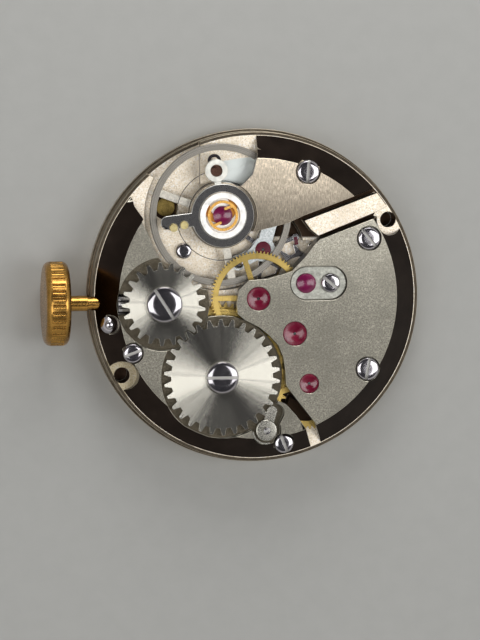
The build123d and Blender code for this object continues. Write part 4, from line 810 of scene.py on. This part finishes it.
class MOVEMENT_OT_winding(bpy.types.Operator):
    """Finish the ratchet wheel, the crown wheel, the click and the barrel"""

    bl_idname = "movement.winding"
    bl_label = "Winding work"

    def execute(self, context):
        colours = context.scene.movement_colours
        sizes = context.scene.movement_sizes
        steel = tuple(colours.steel)
        for name in ("ratchet_wheel", "crown_wheel"):
            dress([name], brushed_wheel("brushed_" + name, steel, middle_of(name), sizes.brushing))
        polished = polished_metal("polished_click_steel", tint(steel, 0.8), broad_smear,
                                  roughness=0.24, haze=0.2)
        dress(["click", "crown_wheel_core", "click_spring", "mainspring"], polished)
        brass = tuple(colours.brass)
        dress(["barrel_drum", "barrel_cover"],
              polished_metal("barrel_brass", tint(brass, 0.85), lever_smear, roughness=0.3))
        dress(["barrel_arbor"],
              polished_metal("arbor_steel", tuple(colours.dark_steel), arbor_smear))
        ease(["ratchet_wheel", "crown_wheel", "click", "crown_wheel_core"], sizes.fine_edge)
        return {"FINISHED"}


class MOVEMENT_OT_train(bpy.types.Operator):
    """Finish the train wheels, their pinions and the escapement"""

    bl_idname = "movement.train"
    bl_label = "Train and escapement"

    def execute(self, context):
        colours = context.scene.movement_colours
        sizes = context.scene.movement_sizes
        brass = tuple(colours.brass)
        for name in ("great_wheel", "third_wheel", "fourth_wheel"):
            dress([name], brushed_wheel("gilt_" + name, tint(brass, 0.68), middle_of(name),
                                        sizes.brushing, roughness=0.32, stretch=0.4))
        steel = tuple(colours.dark_steel)
        dress(["great_pinion", "third_pinion", "fourth_pinion", "escape_pinion", "pallet_arbor"],
              polished_metal("pinion_steel", steel, small_smear))
        dress(["escape_wheel", "pallet_fork"],
              polished_metal("escape_steel", tint(steel, 1.5), small_smear))
        ease(["fourth_wheel", "escape_wheel", "pallet_fork"], sizes.fine_edge)
        return {"FINISHED"}


class MOVEMENT_OT_balance(bpy.types.Operator):
    """Finish the balance, its hairspring, the regulator and the shock setting"""

    bl_idname = "movement.balance"
    bl_label = "Balance and regulator"

    def execute(self, context):
        colours = context.scene.movement_colours
        sizes = context.scene.movement_sizes
        steel = tuple(colours.dark_steel)
        dress(["balance_wheel"], balance_nickel(balance_axis, sizes.brushing))
        dress(["balance_staff", "hairspring_collet"],
              polished_metal("staff_steel", steel, small_smear))
        dress(["regulator"],
              polished_metal("regulator_steel", tint(steel, 0.2), lever_smear, roughness=0.3,
                             haze=0.12, edge=regulator_edge_highlight))
        for name, finish, colour, size, roughness in (
                ("stud_carrier", "carrier_steel", carrier_steel, lever_smear, 0.40),
                ("shock_blocks", "block_steel", block_steel, lever_smear, 0.42),
                ("shock_springs", "lyre_gold", lyre_gold, thin_smear, 0.3),
                ("curb_pins", "curb_brass", curb_brass, thin_smear, 0.34),
                ("hairspring_stud", "stud_steel", stud_steel, thin_smear, 0.25),
                ("hairspring", "spring_steel", tint(steel, 0.8), thin_smear, 0.12)):
            dress([name], polished_metal(finish, colour, size, roughness))
        ease(["balance_wheel", "stud_carrier", "shock_blocks", "hairspring_stud"], sizes.eased_edge)
        ease(["regulator"], 1.6 * sizes.eased_edge)
        return {"FINISHED"}


class MOVEMENT_OT_jewels(bpy.types.Operator):
    """Finish every jewel and the cap plate"""

    bl_idname = "movement.jewels"
    bl_label = "Jewels"

    def execute(self, context):
        colours = context.scene.movement_colours
        sizes = context.scene.movement_sizes
        dress(["upper_jewels", "lower_jewels", "pallet_stones", "impulse_roller"],
              ruby_stone("polished_ruby", tuple(colours.ruby), stone_cloud))
        caps = [head for head in heads_of("cap_jewels") if head[1] > upper_side]
        dress(["cap_jewels"],
              ruby_stone("polished_cap_ruby", cap_ruby, stone_cloud, caps, dome=0.45))
        dress(["escape_cap_plate"],
              polished_metal("cap_plate_steel", cap_plate_steel, cap_smear, roughness=0.36,
                             haze=0.4))
        ease(["escape_cap_plate", "upper_jewels"], sizes.fine_edge)
        return {"FINISHED"}


class MOVEMENT_OT_screws(bpy.types.Operator):
    """Finish the screws and pins"""

    bl_idname = "movement.screws"
    bl_label = "Screws and pins"

    def execute(self, context):
        colours = context.scene.movement_colours
        sizes = context.scene.movement_sizes
        screws = ["large_bridge_screws", "medium_bridge_screws", "small_screws",
                  "setting_lever_screw", "ratchet_screw", "crown_wheel_screw"]
        steel = tuple(colours.screw_steel)
        for name in screws:
            wheel = name in ("ratchet_screw", "crown_wheel_screw")
            heads = heads_of(name, wheel_head_spread if wheel else head_spread)
            dress([name], domed_heads("domed_" + name, tint(steel, 0.95 if wheel else 1.2),
                                      slot_steel, heads, dome=0.6 if wheel else 0.8))
        dress(["steady_pins"], polished_metal("pin_steel", steel, arbor_smear, roughness=0.16))
        ease(screws, sizes.fine_edge)
        return {"FINISHED"}


class MOVEMENT_OT_keyless(bpy.types.Operator):
    """Finish the crown, the stem and the setting levers"""

    bl_idname = "movement.keyless"
    bl_label = "Stem, crown and levers"

    def execute(self, context):
        colours = context.scene.movement_colours
        sizes = context.scene.movement_sizes
        dress(["crown"], polished_metal("crown_gold", tuple(colours.gold), broad_smear,
                                        roughness=0.24, haze=0.3))
        steel = tuple(colours.dark_steel)
        dress(["winding_stem"], stem_finish(tuple(colours.gold), tint(steel, 1.3)))
        dress(["winding_pinion", "sliding_clutch", "setting_lever", "yoke", "setting_lever_jumper"],
              polished_metal("keyless_steel", tint(steel, 1.3), arbor_smear, roughness=0.2))
        ease(["crown"], sizes.eased_edge)
        return {"FINISHED"}


class MOVEMENT_OT_motion_work(bpy.types.Operator):
    """Finish the wheels under the dial"""

    bl_idname = "movement.motion_work"
    bl_label = "Motion work"

    def execute(self, context):
        colours = context.scene.movement_colours
        sizes = context.scene.movement_sizes
        brass = tuple(colours.brass)
        for name in ("hour_wheel", "minute_wheel"):
            dress([name], brushed_wheel("gilt_" + name, brass, middle_of(name), sizes.brushing,
                                        roughness=0.36, stretch=0.3))
        steel = tuple(colours.dark_steel)
        dress(["cannon_pinion", "motion_driver", "setting_wheel", "center_tube"],
              polished_metal("motion_steel", tint(steel, 1.3), stem_smear, roughness=0.2))
        return {"FINISHED"}


def fitting(name, body, material, centre, ring, arc=()):
    """A small flat ring, or an arc of one, riding on a body."""
    mesh = bpy.data.meshes.new(name)
    work = bmesh.new()
    sector(work, centre, *ring, *arc)
    bmesh.ops.recalc_face_normals(work, faces=work.faces)
    work.to_mesh(mesh)
    work.free()
    mesh.materials.append(material)
    piece = bpy.data.objects.new(name, mesh)
    bpy.context.scene.collection.objects.link(piece)
    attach(piece, body)


def sector(work, centre, inner, outer, low, high, start=0.0, sweep=360.0, parts=64):
    """A flat ring or part of one, with a small bevel on its upper edges."""
    edge = min(fitting_edge, (outer - inner) / 4, (high - low) / 2)
    inner_edge = edge if inner else 0
    profile = [(inner, low), (outer, low), (outer, high - edge), (outer - edge, high),
               (inner + inner_edge, high), (inner, high - inner_edge)]
    whole = sweep >= 360
    loops = []
    for part in range(parts if whole else parts + 1):
        angle = math.radians(start + sweep * part / parts)
        loops.append([work.verts.new((centre[0] + radius * math.cos(angle),
                                      centre[1] + radius * math.sin(angle), level))
                      for radius, level in profile])
    for first, second in zip(loops, loops[1:] + ([loops[0]] if whole else [])):
        for index in range(len(profile)):
            after = (index + 1) % len(profile)
            corners = {tuple(corner.co): corner for corner in
                       (first[index], second[index], second[after], first[after])}
            if len(corners) > 2:
                work.faces.new(corners.values())
    if not whole:
        work.faces.new(loops[0])
        work.faces.new(list(reversed(loops[-1])))
    bmesh.ops.remove_doubles(work, verts=work.verts, dist=fitting_weld)


class MOVEMENT_OT_fittings(bpy.types.Operator):
    """Add the gilt dish of the shock setting, the stud's latch, the well's disc with its dark ring
    of painted shade, and dark floors of painted shadow in the case holes
    """

    bl_idname = "movement.fittings"
    bl_label = "Small fittings"

    def execute(self, context):
        colours = context.scene.movement_colours
        jewel = max(heads_of("cap_jewels", cap_spread), key=lambda head: head[0].y)
        gilt = polished_metal("dish_gold", dish_gold, small_smear, roughness=0.45)
        dark = polished_metal("latch_steel", latch_steel, thin_smear, roughness=0.25)
        olive = polished_metal("well_disc_brass", tint(tuple(colours.brass), 0.3), small_smear,
                               roughness=0.3)
        # painted shadow, for the ring round the well's disc and the floors of the case holes
        shade = polished_metal("hole_shade", hole_shade, small_smear, roughness=0.4)
        latch_place = (stud_axis.x + latch_shift[0], stud_axis.y + latch_shift[1])
        fitting("shock_dish", "frame", gilt, jewel[0], dish_ring)
        fitting("stud_latch", "stud_body", dark, latch_place, latch_ring, latch_arc)
        fitting("well_disc", "frame", olive, disc_place, disc_plate)
        fitting("well_disc_ring", "frame", shade, disc_place, disc_border)
        for number, hole in enumerate(case_holes):
            fitting("case_hole_floor_%d" % (number + 1), "frame", shade, hole, hole_shadow_disc)
        return {"FINISHED"}


def studio_world(world):
    """Soft light from all round, dimmer overhead where the lens looks down."""
    world.use_nodes = True
    tree = world.node_tree
    background = tree.nodes["Background"]
    coordinates = tree.nodes.new("ShaderNodeTexCoord")
    level = axes_of(tree, coordinates.outputs["Generated"])[2]
    stops = [(0.0, low_sky), (0.25, low_sky), (0.45, side_sky), (0.68, side_sky), (0.80, dim_sky),
             (1.0, top_sky)]
    tree.links.new(ramp(tree, level, stops), background.inputs["Color"])
    background.inputs["Strength"].default_value = 1.0


def pale_floor(colour):
    """The floor's finish. It can't be seen from below, and lets the lamp below shine through."""
    material, tree, shader, coordinates = blank_finish("pale_floor")
    weave = patches(tree, coordinates.outputs["Object"], floor_weave, 4.0)
    tree.links.new(ramp(tree, weave, [(0.35, tint(colour, 0.985)), (0.65, tint(colour, 1.015))]),
                   shader.inputs["Base Color"])
    shader.inputs["Roughness"].default_value = 0.9
    shader.inputs["Specular IOR Level"].default_value = 0.1
    side = tree.nodes.new("ShaderNodeNewGeometry")
    path = tree.nodes.new("ShaderNodeLightPath")
    clear = tree.nodes.new("ShaderNodeBsdfTransparent")
    choice = tree.nodes.new("ShaderNodeMixShader")
    through = sums(tree, "MAXIMUM", side.outputs["Backfacing"], path.outputs["Is Shadow Ray"])
    for socket, value in zip(choice.inputs, (through, shader.outputs[0], clear.outputs[0])):
        tree.links.new(value, socket)
    tree.links.new(choice.outputs[0], tree.nodes["Material Output"].inputs["Surface"])
    return material


def lamp(name, place, aim, power, width, tall):
    """A soft lamp that looks at a point."""
    data = bpy.data.lights.new(name, "AREA")
    data.shape = "RECTANGLE"
    data.size = width
    data.size_y = width * tall
    data.energy = power
    piece = bpy.data.objects.new(name, data)
    piece.location = place
    piece.rotation_euler = (aim - Vector(place)).to_track_quat("-Z", "Y").to_euler()
    bpy.context.scene.collection.objects.link(piece)


class MOVEMENT_OT_stage(bpy.types.Operator):
    """Lay the floor, hang the lamps and set up the camera"""

    bl_idname = "movement.stage"
    bl_label = "Studio"

    def execute(self, context):
        studio = context.scene.movement_studio
        colours = context.scene.movement_colours
        scene = context.scene
        scene.view_settings.view_transform = "Standard"
        world = bpy.data.worlds.new("studio")
        scene.world = world
        studio_world(world)
        floor_mesh = bpy.data.meshes.new("floor")
        level = cad_floor()
        corners = [(x * floor_half, y * floor_half, level)
                   for x, y in ((-1, -1), (1, -1), (1, 1), (-1, 1))]
        floor_mesh.from_pydata(corners, [], [(0, 1, 2, 3)])
        floor = bpy.data.objects.new("floor", floor_mesh)
        scene.collection.objects.link(floor)
        floor_mesh.materials.append(pale_floor(tuple(colours.floor)))
        aim = Vector(picture_middle)
        for name, (place, width, tall) in lamps.items():
            lamp(name + "_lamp", place, aim, getattr(studio, name + "_power"), width, tall)
        away = Vector((-math.tan(studio.lean_left), math.tan(studio.lean_up), 1)).normalized()
        data = bpy.data.cameras.new("camera")
        data.sensor_fit = "VERTICAL"
        data.lens = data.sensor_height * studio.distance / studio.view_height
        data.clip_start = lens_clip
        camera = bpy.data.objects.new("camera", data)
        side = Vector((0, 1, 0)).cross(away).normalized()
        upright = away.cross(side)
        turn = Matrix((side, upright, away)).transposed().to_4x4()
        camera.matrix_world = Matrix.Translation(aim + studio.distance * away) @ turn
        scene.collection.objects.link(camera)
        scene.camera = camera
        return {"FINISHED"}


def cad_floor():
    """The level that the crown's rim rests on."""
    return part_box("crown")[0].z


class MOVEMENT_PT_panel(bpy.types.Panel):
    """Lists the steps that dress the movement"""

    bl_idname = "MOVEMENT_PT_panel"
    bl_label = "Watch movement"
    bl_space_type = "VIEW_3D"
    bl_region_type = "UI"
    bl_category = "Movement"

    def draw(self, context):
        for step in steps:
            self.layout.operator(step.bl_idname)


steps = [MOVEMENT_OT_stage, MOVEMENT_OT_plates, MOVEMENT_OT_winding, MOVEMENT_OT_train,
         MOVEMENT_OT_balance, MOVEMENT_OT_jewels, MOVEMENT_OT_screws, MOVEMENT_OT_keyless,
         MOVEMENT_OT_motion_work, MOVEMENT_OT_fittings]
groups = [MovementColours, MovementSizes, MovementStudio]


def register():
    """Add the property groups, the steps and the panel."""
    for item in groups + steps + [MOVEMENT_PT_panel]:
        bpy.utils.register_class(item)
    bpy.types.Scene.movement_colours = bpy.props.PointerProperty(type=MovementColours)
    bpy.types.Scene.movement_sizes = bpy.props.PointerProperty(type=MovementSizes)
    bpy.types.Scene.movement_studio = bpy.props.PointerProperty(type=MovementStudio)


def unregister():
    """Take everything away again."""
    del bpy.types.Scene.movement_colours
    del bpy.types.Scene.movement_sizes
    del bpy.types.Scene.movement_studio
    for item in reversed(groups + steps + [MOVEMENT_PT_panel]):
        bpy.utils.unregister_class(item)


def main():
    """Run every step in order."""
    register()
    for step in steps:
        group, name = step.bl_idname.split(".")
        getattr(getattr(bpy.ops, group), name)()


if __name__ == "__main__":
    main()
